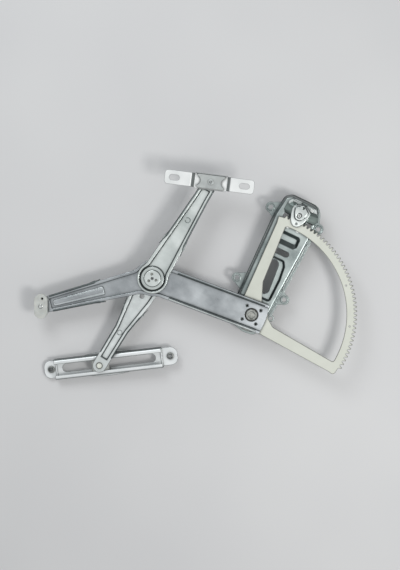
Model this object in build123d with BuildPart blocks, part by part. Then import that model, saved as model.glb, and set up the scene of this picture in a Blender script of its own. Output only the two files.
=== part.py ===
from build123d import *
import os
from math import acos, cos, degrees, hypot, pi, radians, sin, tan

os.makedirs("parts", exist_ok=True)

# Hand-cranked cross-arm window regulator.
# Origin: the middle of the four bolts that hold the base plate, on the face that meets the door panel.
# +Z points from the door panel towards the glass; +Y runs along the base plate towards the gear head.

# ---------------------------------------------------------------- driving dimensions, in millimetres

# Gear pair
MODULE = 2.0
PRESSURE_ANGLE = 20.0
PINION_TEETH = 8
SECTOR_TEETH_PER_TURN = 153
SECTOR_TEETH_BEFORE_REST = 3
SECTOR_TEETH_AFTER_REST = 41
SECTOR_SHIFT = 0.72
PINION_SHIFT = 0.32
ROOT_CLEARANCE = 0.25
FLANK_CLEARANCE = 0.09

# Sheet thicknesses
BASE_SHEET = 1.5
SECTOR_SHEET = 2.5
ARM_SHEET = 2.0
RAIL_SHEET = 1.2
BRACKET_SHEET = 2.0

# Clearances
RUNNING_FIT = 0.05
SEAT_GAP = 0.03
FACE_GAP = 0.2
PASS_GAP = 0.8

# Places on the base plate
BOLT_SPACING_X = 78.0
BOLT_SPACING_Y = 117.0
BOLT_HOLE_RADIUS = 3.3
PIVOT = (4.0, -98.0)

# Arms: lengths between pivots and directions at rest, in degrees from +X
CROSS_PIVOT_REACH = 157.0
MAIN_ARM_ANGLE = 185.05
LIFT_REACH = 173.0
LIFT_ANGLE = 219.6
GUIDE_REACH = 157.0
GUIDE_ANGLE = 263.8
BRACKET_REACH = 167.0
BRACKET_ARM_ANGLE = 83.9
RAIL_ANGLE = 32.4
RAIL_CENTRE_AHEAD = 12.4
BRACKET_ANGLE = 18.0

# Heights
BASE_HEIGHT = 15.0
WASHER_THICKNESS = 1.5
PRESS_DEPTH = 2.8
FLANGE_OVERHANG = 0.7

# How closely a radius is matched when an edge or a corner is picked by it
MATCH = 0.01

# Steps that solve the gear pair's working pressure angle
NEWTON_STEPS = 6


def polar(centre, reach, angle):
    """The point at a reach and an angle from a centre."""
    return (centre[0] + reach * cos(radians(angle)), centre[1] + reach * sin(radians(angle)))


def involute(pressure):
    """The involute function of a pressure angle in radians."""
    return tan(pressure) - pressure


def working_distance(teeth, shift):
    """Distance between the axes of a gear pair that meshes without backlash, from its total teeth and shift."""
    cutter = radians(PRESSURE_ANGLE)
    wanted = involute(cutter) + 2 * shift * tan(cutter) / teeth
    pressure = cutter
    for _ in range(NEWTON_STEPS):
        pressure -= (involute(pressure) - wanted) / tan(pressure) ** 2
    return MODULE * teeth / 2 * cos(cutter) / cos(pressure)


# ---------------------------------------------------------------- places worked out from them

CENTRE_DISTANCE = working_distance(SECTOR_TEETH_PER_TURN + PINION_TEETH, SECTOR_SHIFT + PINION_SHIFT)
SHAFT = (PIVOT[0], PIVOT[1] + CENTRE_DISTANCE)
CROSS = polar(PIVOT, CROSS_PIVOT_REACH, MAIN_ARM_ANGLE)
LIFT = polar(CROSS, LIFT_REACH, LIFT_ANGLE)
GUIDE = polar(CROSS, GUIDE_REACH, GUIDE_ANGLE)
GLASS = polar(CROSS, BRACKET_REACH, BRACKET_ARM_ANGLE)

SECTOR_Z = BASE_HEIGHT + WASHER_THICKNESS + FACE_GAP
SECTOR_TOP = SECTOR_Z + SECTOR_SHEET
MAIN_Z = SECTOR_TOP
MAIN_TOP = MAIN_Z + PRESS_DEPTH + ARM_SHEET
UPPER_Z = MAIN_TOP + PASS_GAP
UPPER_TOP = UPPER_Z + PRESS_DEPTH + ARM_SHEET
MAIN_FLANGE_Z = MAIN_Z - FLANGE_OVERHANG
LOWER_TOP = MAIN_FLANGE_Z - PASS_GAP
LOWER_Z = LOWER_TOP - PRESS_DEPTH - ARM_SHEET


def level(origin, angle, height):
    """A horizontal plane at a height, with its own X along an angle."""
    return Plane(
        origin=(origin[0], origin[1], height),
        x_dir=(cos(radians(angle)), sin(radians(angle)), 0),
        z_dir=(0, 0, 1),
    )


# ---------------------------------------------------------------- gear teeth

def tooth_half_angle(teeth, shift, radius):
    """Half of a tooth's angle at a radius, in degrees, for an involute tooth."""
    pitch_radius = MODULE * teeth / 2
    base_radius = pitch_radius * cos(radians(PRESSURE_ANGLE))
    at_pitch = (pi / 2 + 2 * shift * tan(radians(PRESSURE_ANGLE))) / teeth
    pitch_roll = involute(radians(PRESSURE_ANGLE))
    roll_here = involute(acos(min(1.0, base_radius / radius)))
    return degrees(at_pitch + pitch_roll - roll_here - FLANK_CLEARANCE / pitch_radius)


def tooth_radii(teeth, shift):
    """Root and tip radius of a gear."""
    pitch_radius = MODULE * teeth / 2
    root_radius = pitch_radius - MODULE * (1 + ROOT_CLEARANCE - shift)
    tip_radius = pitch_radius + MODULE * (1 + shift)
    return root_radius, tip_radius


def tooth_face(teeth, shift, sink):
    """The face of one tooth along +X, with its foot sunk below the root circle."""
    root_radius, tip_radius = tooth_radii(teeth, shift)
    base_radius = MODULE * teeth / 2 * cos(radians(PRESSURE_ANGLE))
    foot = root_radius - sink
    start = max(root_radius, base_radius)
    radii = (start, (start + tip_radius) / 2, tip_radius)
    left = [polar((0, 0), radius, tooth_half_angle(teeth, shift, radius)) for radius in radii]
    right = [(x, -y) for x, y in left]
    foot_left = polar((0, 0), foot, tooth_half_angle(teeth, shift, start))
    foot_right = (foot_left[0], -foot_left[1])
    with BuildSketch(mode=Mode.PRIVATE) as tooth:
        with BuildLine():
            Line(foot_left, left[0])
            ThreePointArc(left[0], left[1], left[2])
            ThreePointArc(left[2], (tip_radius, 0), right[2])
            ThreePointArc(right[2], right[1], right[0])
            Line(right[0], foot_right)
            Line(foot_right, foot_left)
        make_face()
    return tooth.sketch


# ---------------------------------------------------------------- sector gear

SECTOR_RIM_WIDTH = 10.8
SECTOR_HUB_RADIUS = 25.0
SECTOR_END_MARGIN = 3.2
SECTOR_TAIL_MARGIN = 4.6
SECTOR_TAIL_CORNER = 4.5
SECTOR_FOOT_CORNER = 8.0
SECTOR_INNER_CORNER = 3.0
UPRIGHT_NEAR_OUTER = 22.0
UPRIGHT_WAIST = (5.7, 51.6)
UPRIGHT_TOP_WIDTH = 14.0
FOOT_LEG_WAIST = (37.1, 3.5)
FOOT_LEG_DROP = 21.0
FOOT_LEG_WIDTH = 15.5
RIM_HOLE_RADIUS = 1.0
RIM_HOLE_ANGLES = (18.8, 43.0)
PIVOT_BORE = 8.5
CLINCH_CIRCLE = 15.3
CLINCH_RADIUS = 2.4
CLINCHES = 4
HUB_FLARE = 5.0
RIM_LAP = 1.0

tooth_pitch = 360 / SECTOR_TEETH_PER_TURN
sector_root, sector_tip = tooth_radii(SECTOR_TEETH_PER_TURN, SECTOR_SHIFT)
sector_inner = sector_root - SECTOR_RIM_WIDTH
sector_top_angle = 90 + SECTOR_TEETH_BEFORE_REST * tooth_pitch + SECTOR_END_MARGIN
sector_tail_angle = 90 - SECTOR_TEETH_AFTER_REST * tooth_pitch - SECTOR_TAIL_MARGIN
first_tooth_angle = 90 - (SECTOR_TEETH_AFTER_REST - 0.5) * tooth_pitch
sector_teeth = SECTOR_TEETH_BEFORE_REST + SECTOR_TEETH_AFTER_REST
clinch_start = MAIN_ARM_ANGLE + 180 / CLINCHES

sector_tooth = tooth_face(SECTOR_TEETH_PER_TURN, SECTOR_SHIFT, MODULE / 2)
upright_turn = degrees(UPRIGHT_TOP_WIDTH / sector_inner)
tail_turn = degrees(FOOT_LEG_WIDTH / sector_inner)


def sector_corners(outline, radius):
    """The corners of the sector's outline that lie on a circle, but for those at its top end."""
    top = radians(sector_top_angle)
    return [
        corner for corner in outline.vertices()
        if abs(hypot(corner.X, corner.Y) - radius) < MATCH and corner.X * cos(top) + corner.Y * sin(top)
        < radius * cos(radians(SECTOR_END_MARGIN))
    ]


with BuildPart() as sector_gear:
    with BuildSketch(level(PIVOT, 0, SECTOR_Z)) as sector_sketch:
        with BuildLine():
            outer = CenterArc((0, 0), sector_root, sector_tail_angle, sector_top_angle - sector_tail_angle)
            inner = CenterArc((0, 0), sector_inner, sector_tail_angle, sector_top_angle - sector_tail_angle)
            Line(outer @ 0, inner @ 0)
            Line(outer @ 1, inner @ 1)
        make_face()
        with BuildLine():
            Polyline(
                polar((0, 0), sector_inner + RIM_LAP, sector_top_angle),
                (-UPRIGHT_NEAR_OUTER, SECTOR_HUB_RADIUS),
                (-UPRIGHT_NEAR_OUTER, 0),
                (0, 0),
                (HUB_FLARE, SECTOR_HUB_RADIUS),
                (-UPRIGHT_WAIST[0], UPRIGHT_WAIST[1]),
                polar((0, 0), sector_inner + RIM_LAP, sector_top_angle - upright_turn),
                close=True,
            )
        make_face()
        with BuildLine():
            Polyline(
                polar((0, 0), sector_inner + RIM_LAP, sector_tail_angle),
                (SECTOR_HUB_RADIUS, -FOOT_LEG_DROP),
                (0, -FOOT_LEG_DROP),
                (0, 0),
                (SECTOR_HUB_RADIUS, HUB_FLARE),
                (FOOT_LEG_WAIST[0], -FOOT_LEG_WAIST[1]),
                polar((0, 0), sector_inner + RIM_LAP, sector_tail_angle + tail_turn),
                close=True,
            )
        make_face()
        Circle(SECTOR_HUB_RADIUS)
        fillet(sector_corners(sector_sketch, sector_root), SECTOR_TAIL_CORNER)
        fillet(sector_corners(sector_sketch, sector_inner + RIM_LAP), SECTOR_FOOT_CORNER)
        fillet(sector_corners(sector_sketch, sector_inner), SECTOR_INNER_CORNER)
        with PolarLocations(0, sector_teeth, first_tooth_angle, (sector_teeth - 1) * tooth_pitch,
                            endpoint=True):
            add(sector_tooth)
        Circle(PIVOT_BORE + SEAT_GAP, mode=Mode.SUBTRACT)
        with PolarLocations(CLINCH_CIRCLE, CLINCHES, clinch_start):
            Circle(CLINCH_RADIUS + SEAT_GAP, mode=Mode.SUBTRACT)
        for hole_angle in RIM_HOLE_ANGLES:
            with Locations(polar((0, 0), (sector_inner + sector_root) / 2, hole_angle)):
                Circle(RIM_HOLE_RADIUS, mode=Mode.SUBTRACT)
    extrude(amount=SECTOR_SHEET)
sector_gear.part.label = "sector_gear"
export_step(sector_gear.part, "parts/sector_gear.step")


# ---------------------------------------------------------------- pressed arms and the hub between them

HUB_SHOULDER_RADIUS = 15.0
HUB_CAP_RADIUS = 15.0
HUB_SPIGOT_RADIUS = 12.4
HUB_HEAD_RISE = 1.6
HUB_BORE = 2.0
HUB_RIVET_CIRCLE = 6.3
HUB_RIVET_RADIUS = 1.8
HUB_RIVETS = 3
HUB_COLLAR_RADIUS = 17.4
HUB_COLLAR_RISE = 1.4
HUB_GROOVE_DEPTH = 0.7
HUB_GROOVE_WIDTH = 1.2

lower_panel_top = LOWER_Z + ARM_SHEET
main_panel_top = MAIN_Z + ARM_SHEET
upper_panel_top = UPPER_Z + ARM_SHEET
hub_parting = main_panel_top + FACE_GAP
hub_top = upper_panel_top + HUB_COLLAR_RISE + HUB_HEAD_RISE

MAIN_HALF_WIDTH = 23.0
MAIN_BEYOND_PIVOT = 20.0
MAIN_END_BULGE = 2.5
MAIN_HUB_RADIUS = 27.0
MAIN_RIM = 4.6
MAIN_BLEND = 28.0
LIFT_STATIONS = [(0.0, 19.0), (50.0, 17.0), (85.0, 15.2), (160.0, 12.2), (LIFT_REACH, 11.6)]
LIFT_FLANGE_START = 86.0
LIFT_BEAD_START = 76.0
LIFT_BEAD_END = 154.0
LIFT_BEAD_WIDTH = 7.0
BEAD_HEIGHT = 1.6
BEAD_TAPER = 30.0
JOURNAL_RADIUS = 11.0
PIVOT_RING_RADIUS = 10.0
LIFT_PIN_RADIUS = 3.5
BRACKET_PIN_RADIUS = 4.0
GUIDE_PIN_RADIUS = 4.0
CROSS_RIM = 6.0
UPPER_HUB_RADIUS = 23.0
UPPER_HUB_RIM = 4.4
UPPER_STATIONS = [(0.0, 20.3), (40.0, 17.8), (137.0, 11.7), (BRACKET_REACH, 11.0)]
UPPER_FLANGE_START = 59.0
CROSS_BLEND = 20.0
LOWER_HUB_RADIUS = 22.0
LOWER_STATIONS = [(0.0, 19.5), (37.0, 18.0), (91.0, 10.9), (GUIDE_REACH, 10.3)]
LOWER_FLANGE_START = 56.0
ARM_EDGE = 0.8
RECESS_SLOPE = 1.6
FLANGE_TIP_FLARE = 2.4
FLANGE_TIP_LENGTH = 16.0
PANEL_END_SETBACK = 14.0
DIMPLE_RADIUS = 3.9
DIMPLE_DEPTH = 0.9
UPPER_DIMPLE_REACH = 101.0
LOWER_DIMPLE_REACH = 98.0
LOWER_HOLE_REACH = 33.0
LOWER_HOLE_RADIUS = 3.4


def beside(origin, angle, distance, offset):
    """The point at a distance along a direction and an offset to its left."""
    on_line = polar(origin, distance, angle)
    return polar(on_line, offset, angle + 90)


def limb(angle, stations, inset, tip):
    """A tapering limb from the cross pivot, narrowed by an inset, round or square at its end."""
    last = stations[-1][0]
    sides = [(distance, half - inset) for distance, half in stations]
    left = [beside(CROSS, angle, distance, half) for distance, half in sides]
    right = [beside(CROSS, angle, distance, -half) for distance, half in reversed(sides)]
    with BuildSketch(mode=Mode.PRIVATE) as outline:
        with BuildLine():
            Polyline(*left, *right, close=True)
        make_face()
        if tip == "round":
            with Locations(polar(CROSS, last, angle)):
                Circle(stations[-1][1] - inset)
    return outline.sketch


def with_hub(limbs, hub_radius, blend, inset):
    """Limbs joined at the cross pivot by a round hub, with blended corners."""
    radius = hub_radius - inset
    with BuildSketch(mode=Mode.PRIVATE) as outline:
        with Locations(CROSS):
            Circle(radius)
        add(limbs)
        corners = [
            corner for corner in outline.vertices()
            if abs(hypot(corner.X - CROSS[0], corner.Y - CROSS[1]) - radius) < MATCH
        ]
        fillet(corners, blend)
    return outline.sketch


def trimmed(stations, length):
    """The stations of a limb cut short at a length."""
    kept = [station for station in stations if station[0] < length]
    beyond = next(station for station in stations if station[0] >= length)
    share = (length - kept[-1][0]) / (beyond[0] - kept[-1][0])
    return kept + [(length, kept[-1][1] + share * (beyond[1] - kept[-1][1]))]


def main_arm_outline(inset, lift_length, tip, overrun):
    """The main arm: a wide half to the sector pivot and a tapering half to the lift slider."""
    reach = CROSS_PIVOT_REACH + MAIN_BEYOND_PIVOT + overrun
    wide = limb(MAIN_ARM_ANGLE + 180, [(0.0, MAIN_HALF_WIDTH), (reach, MAIN_HALF_WIDTH)], inset, "square")
    lift = limb(LIFT_ANGLE, trimmed(LIFT_STATIONS, lift_length), inset, tip)
    with BuildSketch(mode=Mode.PRIVATE) as bulge:
        half = MAIN_HALF_WIDTH - inset
        with BuildLine():
            first = beside(CROSS, MAIN_ARM_ANGLE + 180, reach, half)
            last = beside(CROSS, MAIN_ARM_ANGLE + 180, reach, -half)
            crown = polar(CROSS, reach + MAIN_END_BULGE, MAIN_ARM_ANGLE + 180)
            ThreePointArc(first, crown, last)
            Line(last, first)
        make_face()
    return with_hub([wide, lift, bulge.sketch], MAIN_HUB_RADIUS, MAIN_BLEND, inset)


def flange_tips(angle, stations, start):
    """The two flared tips where a limb's turned-down edges start."""
    half = trimmed(stations, start)[-1][1]
    further = trimmed(stations, start + FLANGE_TIP_LENGTH)[-1][1]
    with BuildSketch(mode=Mode.PRIVATE) as tips:
        for side in (1, -1):
            with BuildLine():
                Polyline(
                    beside(CROSS, angle, start, side * (half - ARM_SHEET)),
                    beside(CROSS, angle, start, side * (half + FLANGE_TIP_FLARE)),
                    beside(CROSS, angle, start + FLANGE_TIP_LENGTH, side * further),
                    beside(CROSS, angle, start + FLANGE_TIP_LENGTH, side * (further - ARM_SHEET)),
                    close=True,
                )
            make_face()
    return tips.sketch


def band(angle, start, end):
    """A wide box across a limb, from one distance to another along it."""
    wide = 4 * MAIN_HALF_WIDTH
    with BuildSketch(mode=Mode.PRIVATE) as strip:
        with Locations(Location(polar(CROSS, (start + end) / 2, angle), angle)):
            Rectangle(end - start, wide)
    return strip.sketch


# Main arm: recessed panel on the sector, raised edge strips, edges turned down along the lift half
lift_panel_length = LIFT_REACH - PANEL_END_SETBACK
with BuildPart() as main_arm:
    with BuildSketch(Plane.XY.offset(MAIN_TOP - ARM_SHEET)):
        add(main_arm_outline(0, LIFT_REACH, "round", 0))
    extrude(amount=ARM_SHEET)
    with BuildSketch(Plane.XY.offset(MAIN_Z)):
        add(main_arm_outline(MAIN_RIM - ARM_SHEET, lift_panel_length + ARM_SHEET, "square", 0))
    extrude(amount=PRESS_DEPTH)
    with BuildSketch(Plane.XY.offset(MAIN_Z + ARM_SHEET)):
        add(main_arm_outline(MAIN_RIM, lift_panel_length, "square", MAIN_RIM))
    extrude(amount=PRESS_DEPTH, mode=Mode.SUBTRACT)
    with BuildSketch(Plane.XY.offset(MAIN_FLANGE_Z)):
        add(main_arm_outline(0, LIFT_REACH, "round", 0))
        add(main_arm_outline(ARM_SHEET, LIFT_REACH, "round", 0), mode=Mode.SUBTRACT)
        add(band(LIFT_ANGLE, LIFT_FLANGE_START, LIFT_REACH), mode=Mode.INTERSECT)
        add(flange_tips(LIFT_ANGLE, LIFT_STATIONS, LIFT_FLANGE_START))
    extrude(amount=MAIN_TOP - ARM_SHEET - MAIN_FLANGE_Z)
    with BuildSketch(level(LIFT, LIFT_ANGLE, MAIN_Z + ARM_SHEET)):
        with Locations(((LIFT_BEAD_START + LIFT_BEAD_END) / 2 - LIFT_REACH, 0)):
            SlotOverall(LIFT_BEAD_END - LIFT_BEAD_START, LIFT_BEAD_WIDTH)
    extrude(amount=BEAD_HEIGHT, taper=BEAD_TAPER)
    fillet(main_arm.edges().filter_by(Plane.XY).group_by(Axis.Z)[-1], ARM_EDGE)
    with BuildSketch(Plane.XY.offset(MAIN_Z)):
        with Locations(CROSS):
            Circle(JOURNAL_RADIUS + RUNNING_FIT)
        with Locations(PIVOT):
            Circle(PIVOT_RING_RADIUS)
        with Locations(PIVOT):
            with PolarLocations(CLINCH_CIRCLE, CLINCHES, clinch_start):
                Circle(CLINCH_RADIUS + SEAT_GAP)
        with Locations(LIFT):
            Circle(LIFT_PIN_RADIUS + SEAT_GAP)
    extrude(amount=MAIN_TOP - MAIN_Z, mode=Mode.SUBTRACT)
main_arm.part.label = "main_arm"
export_step(main_arm.part, "parts/main_arm.step")


def cross_limb(angle, stations, hub_radius, inset, length, tip):
    """One half of the cross arm, with its round end at the cross pivot."""
    half = limb(angle, trimmed(stations, length), inset, tip)
    return with_hub([half], hub_radius, CROSS_BLEND, inset)


# Upper cross arm: in front of the main arm, from the cross pivot to the glass bracket
upper_panel_length = BRACKET_REACH - PANEL_END_SETBACK
upper_recess_hub = UPPER_HUB_RADIUS - UPPER_HUB_RIM + CROSS_RIM
with BuildPart() as upper_cross_arm:
    with BuildSketch(Plane.XY.offset(UPPER_TOP - ARM_SHEET)):
        add(cross_limb(BRACKET_ARM_ANGLE, UPPER_STATIONS, UPPER_HUB_RADIUS, 0, BRACKET_REACH, "round"))
    extrude(amount=ARM_SHEET)
    fillet(upper_cross_arm.edges().filter_by(Plane.XY).group_by(Axis.Z)[-1], ARM_EDGE)
    with BuildSketch(Plane.XY.offset(UPPER_Z)):
        add(cross_limb(BRACKET_ARM_ANGLE, UPPER_STATIONS, upper_recess_hub, CROSS_RIM - ARM_SHEET,
                       upper_panel_length + ARM_SHEET, "square"))
    extrude(amount=PRESS_DEPTH)
    with BuildSketch(Plane.XY.offset(UPPER_Z + ARM_SHEET)):
        add(cross_limb(BRACKET_ARM_ANGLE, UPPER_STATIONS, upper_recess_hub, CROSS_RIM,
                       upper_panel_length, "square"))
    extrude(amount=PRESS_DEPTH, mode=Mode.SUBTRACT)
    chamfer(upper_cross_arm.edges(Select.LAST).filter_by(Plane.XY).group_by(Axis.Z)[-1], RECESS_SLOPE)
    with BuildSketch(Plane.XY.offset(UPPER_Z)):
        add(cross_limb(BRACKET_ARM_ANGLE, UPPER_STATIONS, UPPER_HUB_RADIUS, 0, BRACKET_REACH, "round"))
        add(
            cross_limb(BRACKET_ARM_ANGLE, UPPER_STATIONS, UPPER_HUB_RADIUS, ARM_SHEET, BRACKET_REACH, "round"),
            mode=Mode.SUBTRACT,
        )
        add(band(BRACKET_ARM_ANGLE, UPPER_FLANGE_START, BRACKET_REACH), mode=Mode.INTERSECT)
        add(flange_tips(BRACKET_ARM_ANGLE, UPPER_STATIONS, UPPER_FLANGE_START))
    extrude(amount=PRESS_DEPTH + ARM_SHEET - ARM_EDGE)
    with BuildSketch(level(CROSS, 0, upper_panel_top)):
        Circle(HUB_COLLAR_RADIUS)
    extrude(amount=HUB_COLLAR_RISE)
    fillet(upper_cross_arm.edges().filter_by(GeomType.CIRCLE).filter_by(
        lambda edge: abs(edge.radius - HUB_COLLAR_RADIUS) < MATCH).group_by(Axis.Z)[-1], ARM_EDGE)
    with BuildSketch(level(CROSS, 0, upper_panel_top)):
        Circle(HUB_COLLAR_RADIUS + HUB_GROOVE_WIDTH)
        Circle(HUB_COLLAR_RADIUS, mode=Mode.SUBTRACT)
    extrude(amount=-HUB_GROOVE_DEPTH, mode=Mode.SUBTRACT)
    with BuildSketch(level(CROSS, 0, UPPER_Z)):
        Circle(HUB_SPIGOT_RADIUS + SEAT_GAP)
    extrude(amount=UPPER_TOP - UPPER_Z, mode=Mode.SUBTRACT)
    with BuildSketch(level(GLASS, 0, UPPER_Z)):
        Circle(BRACKET_PIN_RADIUS + SEAT_GAP)
    extrude(amount=UPPER_TOP - UPPER_Z, mode=Mode.SUBTRACT)
    with BuildSketch(level(polar(CROSS, UPPER_DIMPLE_REACH, BRACKET_ARM_ANGLE), 0, upper_panel_top)):
        Circle(DIMPLE_RADIUS)
    extrude(amount=-DIMPLE_DEPTH, mode=Mode.SUBTRACT)
upper_cross_arm.part.label = "upper_cross_arm"
export_step(upper_cross_arm.part, "parts/upper_cross_arm.step")

# Lower cross arm: behind the main arm, from the cross pivot to the guide slider
lower_panel_length = GUIDE_REACH - PANEL_END_SETBACK
with BuildPart() as lower_cross_arm:
    with BuildSketch(Plane.XY.offset(LOWER_TOP - ARM_SHEET)):
        add(cross_limb(GUIDE_ANGLE, LOWER_STATIONS, LOWER_HUB_RADIUS, 0, GUIDE_REACH, "round"))
    extrude(amount=ARM_SHEET)
    fillet(lower_cross_arm.edges().filter_by(Plane.XY).group_by(Axis.Z)[-1], ARM_EDGE)
    with BuildSketch(Plane.XY.offset(LOWER_Z)):
        add(cross_limb(GUIDE_ANGLE, LOWER_STATIONS, LOWER_HUB_RADIUS, CROSS_RIM - ARM_SHEET,
                       lower_panel_length + ARM_SHEET, "square"))
    extrude(amount=PRESS_DEPTH)
    with BuildSketch(Plane.XY.offset(LOWER_Z + ARM_SHEET)):
        add(cross_limb(GUIDE_ANGLE, LOWER_STATIONS, LOWER_HUB_RADIUS, CROSS_RIM,
                       lower_panel_length, "square"))
    extrude(amount=PRESS_DEPTH, mode=Mode.SUBTRACT)
    chamfer(lower_cross_arm.edges(Select.LAST).filter_by(Plane.XY).group_by(Axis.Z)[-1], RECESS_SLOPE)
    with BuildSketch(Plane.XY.offset(LOWER_Z)):
        add(cross_limb(GUIDE_ANGLE, LOWER_STATIONS, LOWER_HUB_RADIUS, 0, GUIDE_REACH, "round"))
        add(cross_limb(GUIDE_ANGLE, LOWER_STATIONS, LOWER_HUB_RADIUS, ARM_SHEET, GUIDE_REACH, "round"),
            mode=Mode.SUBTRACT)
        add(band(GUIDE_ANGLE, LOWER_FLANGE_START, GUIDE_REACH), mode=Mode.INTERSECT)
        add(flange_tips(GUIDE_ANGLE, LOWER_STATIONS, LOWER_FLANGE_START))
    extrude(amount=PRESS_DEPTH + ARM_SHEET - ARM_EDGE)
    with BuildSketch(level(CROSS, 0, LOWER_Z)):
        Circle(HUB_BORE)
        with PolarLocations(HUB_RIVET_CIRCLE, HUB_RIVETS, 0):
            Circle(HUB_RIVET_RADIUS + SEAT_GAP)
        with Locations(Vector(*polar(CROSS, LOWER_HOLE_REACH, GUIDE_ANGLE)) - Vector(*CROSS)):
            Circle(LOWER_HOLE_RADIUS)
        with Locations(Vector(*GUIDE) - Vector(*CROSS)):
            Circle(GUIDE_PIN_RADIUS + SEAT_GAP)
    extrude(amount=LOWER_TOP - LOWER_Z, mode=Mode.SUBTRACT)
    with BuildSketch(level(polar(CROSS, LOWER_DIMPLE_REACH, GUIDE_ANGLE), 0, lower_panel_top)):
        Circle(DIMPLE_RADIUS)
    extrude(amount=-DIMPLE_DEPTH, mode=Mode.SUBTRACT)
lower_cross_arm.part.label = "lower_cross_arm"
export_step(lower_cross_arm.part, "parts/lower_cross_arm.step")


# ---------------------------------------------------------------- cross pivot

# Lower half of the hub: a shoulder on the lower arm and the journal that the main arm turns on
with BuildPart() as cross_hub:
    with BuildSketch(level(CROSS, 0, lower_panel_top)):
        Circle(HUB_SHOULDER_RADIUS)
    extrude(amount=MAIN_Z - FACE_GAP - lower_panel_top)
    with BuildSketch(level(CROSS, 0, MAIN_Z - FACE_GAP)):
        Circle(JOURNAL_RADIUS)
    extrude(amount=hub_parting - MAIN_Z + FACE_GAP)
    with BuildSketch(level(CROSS, 0, lower_panel_top)):
        Circle(HUB_BORE)
        with PolarLocations(HUB_RIVET_CIRCLE, HUB_RIVETS, 0):
            Circle(HUB_RIVET_RADIUS + SEAT_GAP)
    extrude(amount=hub_parting - lower_panel_top, mode=Mode.SUBTRACT)
cross_hub.part.label = "cross_hub"
export_step(cross_hub.part, "parts/cross_hub.step")

# Upper half of the hub: a flange under the upper arm and the stepped head that shows in its collar
with BuildPart() as hub_cap:
    with BuildSketch(level(CROSS, 0, hub_parting)):
        Circle(HUB_CAP_RADIUS)
    extrude(amount=UPPER_Z - hub_parting)
    with BuildSketch(level(CROSS, 0, UPPER_Z)):
        Circle(HUB_SPIGOT_RADIUS)
    extrude(amount=hub_top - UPPER_Z)
    fillet(hub_cap.edges().filter_by(GeomType.CIRCLE).group_by(Axis.Z)[-1], ARM_EDGE)
    with BuildSketch(level(CROSS, 0, hub_parting)):
        Circle(HUB_BORE)
        with PolarLocations(HUB_RIVET_CIRCLE, HUB_RIVETS, 0):
            Circle(HUB_RIVET_RADIUS + SEAT_GAP)
    extrude(amount=hub_top - hub_parting, mode=Mode.SUBTRACT)
hub_cap.part.label = "hub_cap"
export_step(hub_cap.part, "parts/hub_cap.step")

# Three rivets that close the hub through both cross arms
with BuildPart() as hub_rivets:
    with BuildSketch(level(CROSS, 0, LOWER_Z)):
        with PolarLocations(HUB_RIVET_CIRCLE, HUB_RIVETS, 0):
            Circle(HUB_RIVET_RADIUS)
    extrude(amount=hub_top - LOWER_Z)
hub_rivets.part.label = "hub_rivets"
export_step(hub_rivets.part, "parts/hub_rivets.step")


# ---------------------------------------------------------------- sector pivot

STUD_RADIUS = 6.0
STUD_SHOULDER_RADIUS = 7.0
STUD_HEAD_RADIUS = 8.1
STUD_HEAD_HEIGHT = 2.2
STUD_TAIL_RADIUS = 9.0
STUD_TAIL_HEIGHT = 2.0
WASHER_RADIUS = 13.0
BUSH_FLANGE_RADIUS = 9.6
BUSH_FLANGE = 0.8
HEAD_EDGE = 0.7

bush_top = SECTOR_TOP + BUSH_FLANGE
stud_head_z = bush_top + FACE_GAP

# Shouldered stud riveted through the base plate; its head keeps the sector and the main arm on
with BuildPart() as sector_pivot_stud:
    with BuildSketch(level(PIVOT, 0, BASE_HEIGHT - BASE_SHEET - STUD_TAIL_HEIGHT)):
        Circle(STUD_TAIL_RADIUS)
    extrude(amount=STUD_TAIL_HEIGHT)
    with BuildSketch(level(PIVOT, 0, BASE_HEIGHT - BASE_SHEET)):
        Circle(STUD_RADIUS)
    extrude(amount=BASE_SHEET)
    with BuildSketch(level(PIVOT, 0, BASE_HEIGHT)):
        Circle(STUD_SHOULDER_RADIUS)
    extrude(amount=stud_head_z - BASE_HEIGHT)
    with BuildSketch(level(PIVOT, 0, stud_head_z)):
        Circle(STUD_HEAD_RADIUS)
    extrude(amount=STUD_HEAD_HEIGHT)
    fillet(sector_pivot_stud.edges().filter_by(GeomType.CIRCLE).group_by(Axis.Z)[-1], HEAD_EDGE)
    fillet(sector_pivot_stud.edges().filter_by(GeomType.CIRCLE).group_by(Axis.Z)[0], HEAD_EDGE)
sector_pivot_stud.part.label = "sector_pivot_stud"
export_step(sector_pivot_stud.part, "parts/sector_pivot_stud.step")

with BuildPart() as pivot_washer:
    with BuildSketch(level(PIVOT, 0, BASE_HEIGHT)):
        Circle(WASHER_RADIUS)
        Circle(STUD_SHOULDER_RADIUS + SEAT_GAP, mode=Mode.SUBTRACT)
    extrude(amount=WASHER_THICKNESS)
pivot_washer.part.label = "pivot_washer"
export_step(pivot_washer.part, "parts/pivot_washer.step")

# Flanged bush pressed into the sector; it turns on the stud's shoulder
with BuildPart() as pivot_bush:
    with BuildSketch(level(PIVOT, 0, SECTOR_Z)):
        Circle(PIVOT_BORE)
    extrude(amount=SECTOR_SHEET)
    with BuildSketch(level(PIVOT, 0, SECTOR_TOP)):
        Circle(BUSH_FLANGE_RADIUS)
    extrude(amount=BUSH_FLANGE)
    with BuildSketch(level(PIVOT, 0, SECTOR_Z)):
        Circle(STUD_SHOULDER_RADIUS + RUNNING_FIT)
    extrude(amount=SECTOR_SHEET + BUSH_FLANGE, mode=Mode.SUBTRACT)
pivot_bush.part.label = "pivot_bush"
export_step(pivot_bush.part, "parts/pivot_bush.step")

# Four tubular rivets that clinch the main arm to the sector
CLINCH_BORE = 1.6
with BuildPart() as arm_rivets:
    with BuildSketch(level(PIVOT, 0, SECTOR_Z)):
        with PolarLocations(CLINCH_CIRCLE, CLINCHES, clinch_start):
            Circle(CLINCH_RADIUS)
            Circle(CLINCH_BORE, mode=Mode.SUBTRACT)
    extrude(amount=main_panel_top - SECTOR_Z)
arm_rivets.part.label = "arm_rivets"
export_step(arm_rivets.part, "parts/arm_rivets.step")


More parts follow.
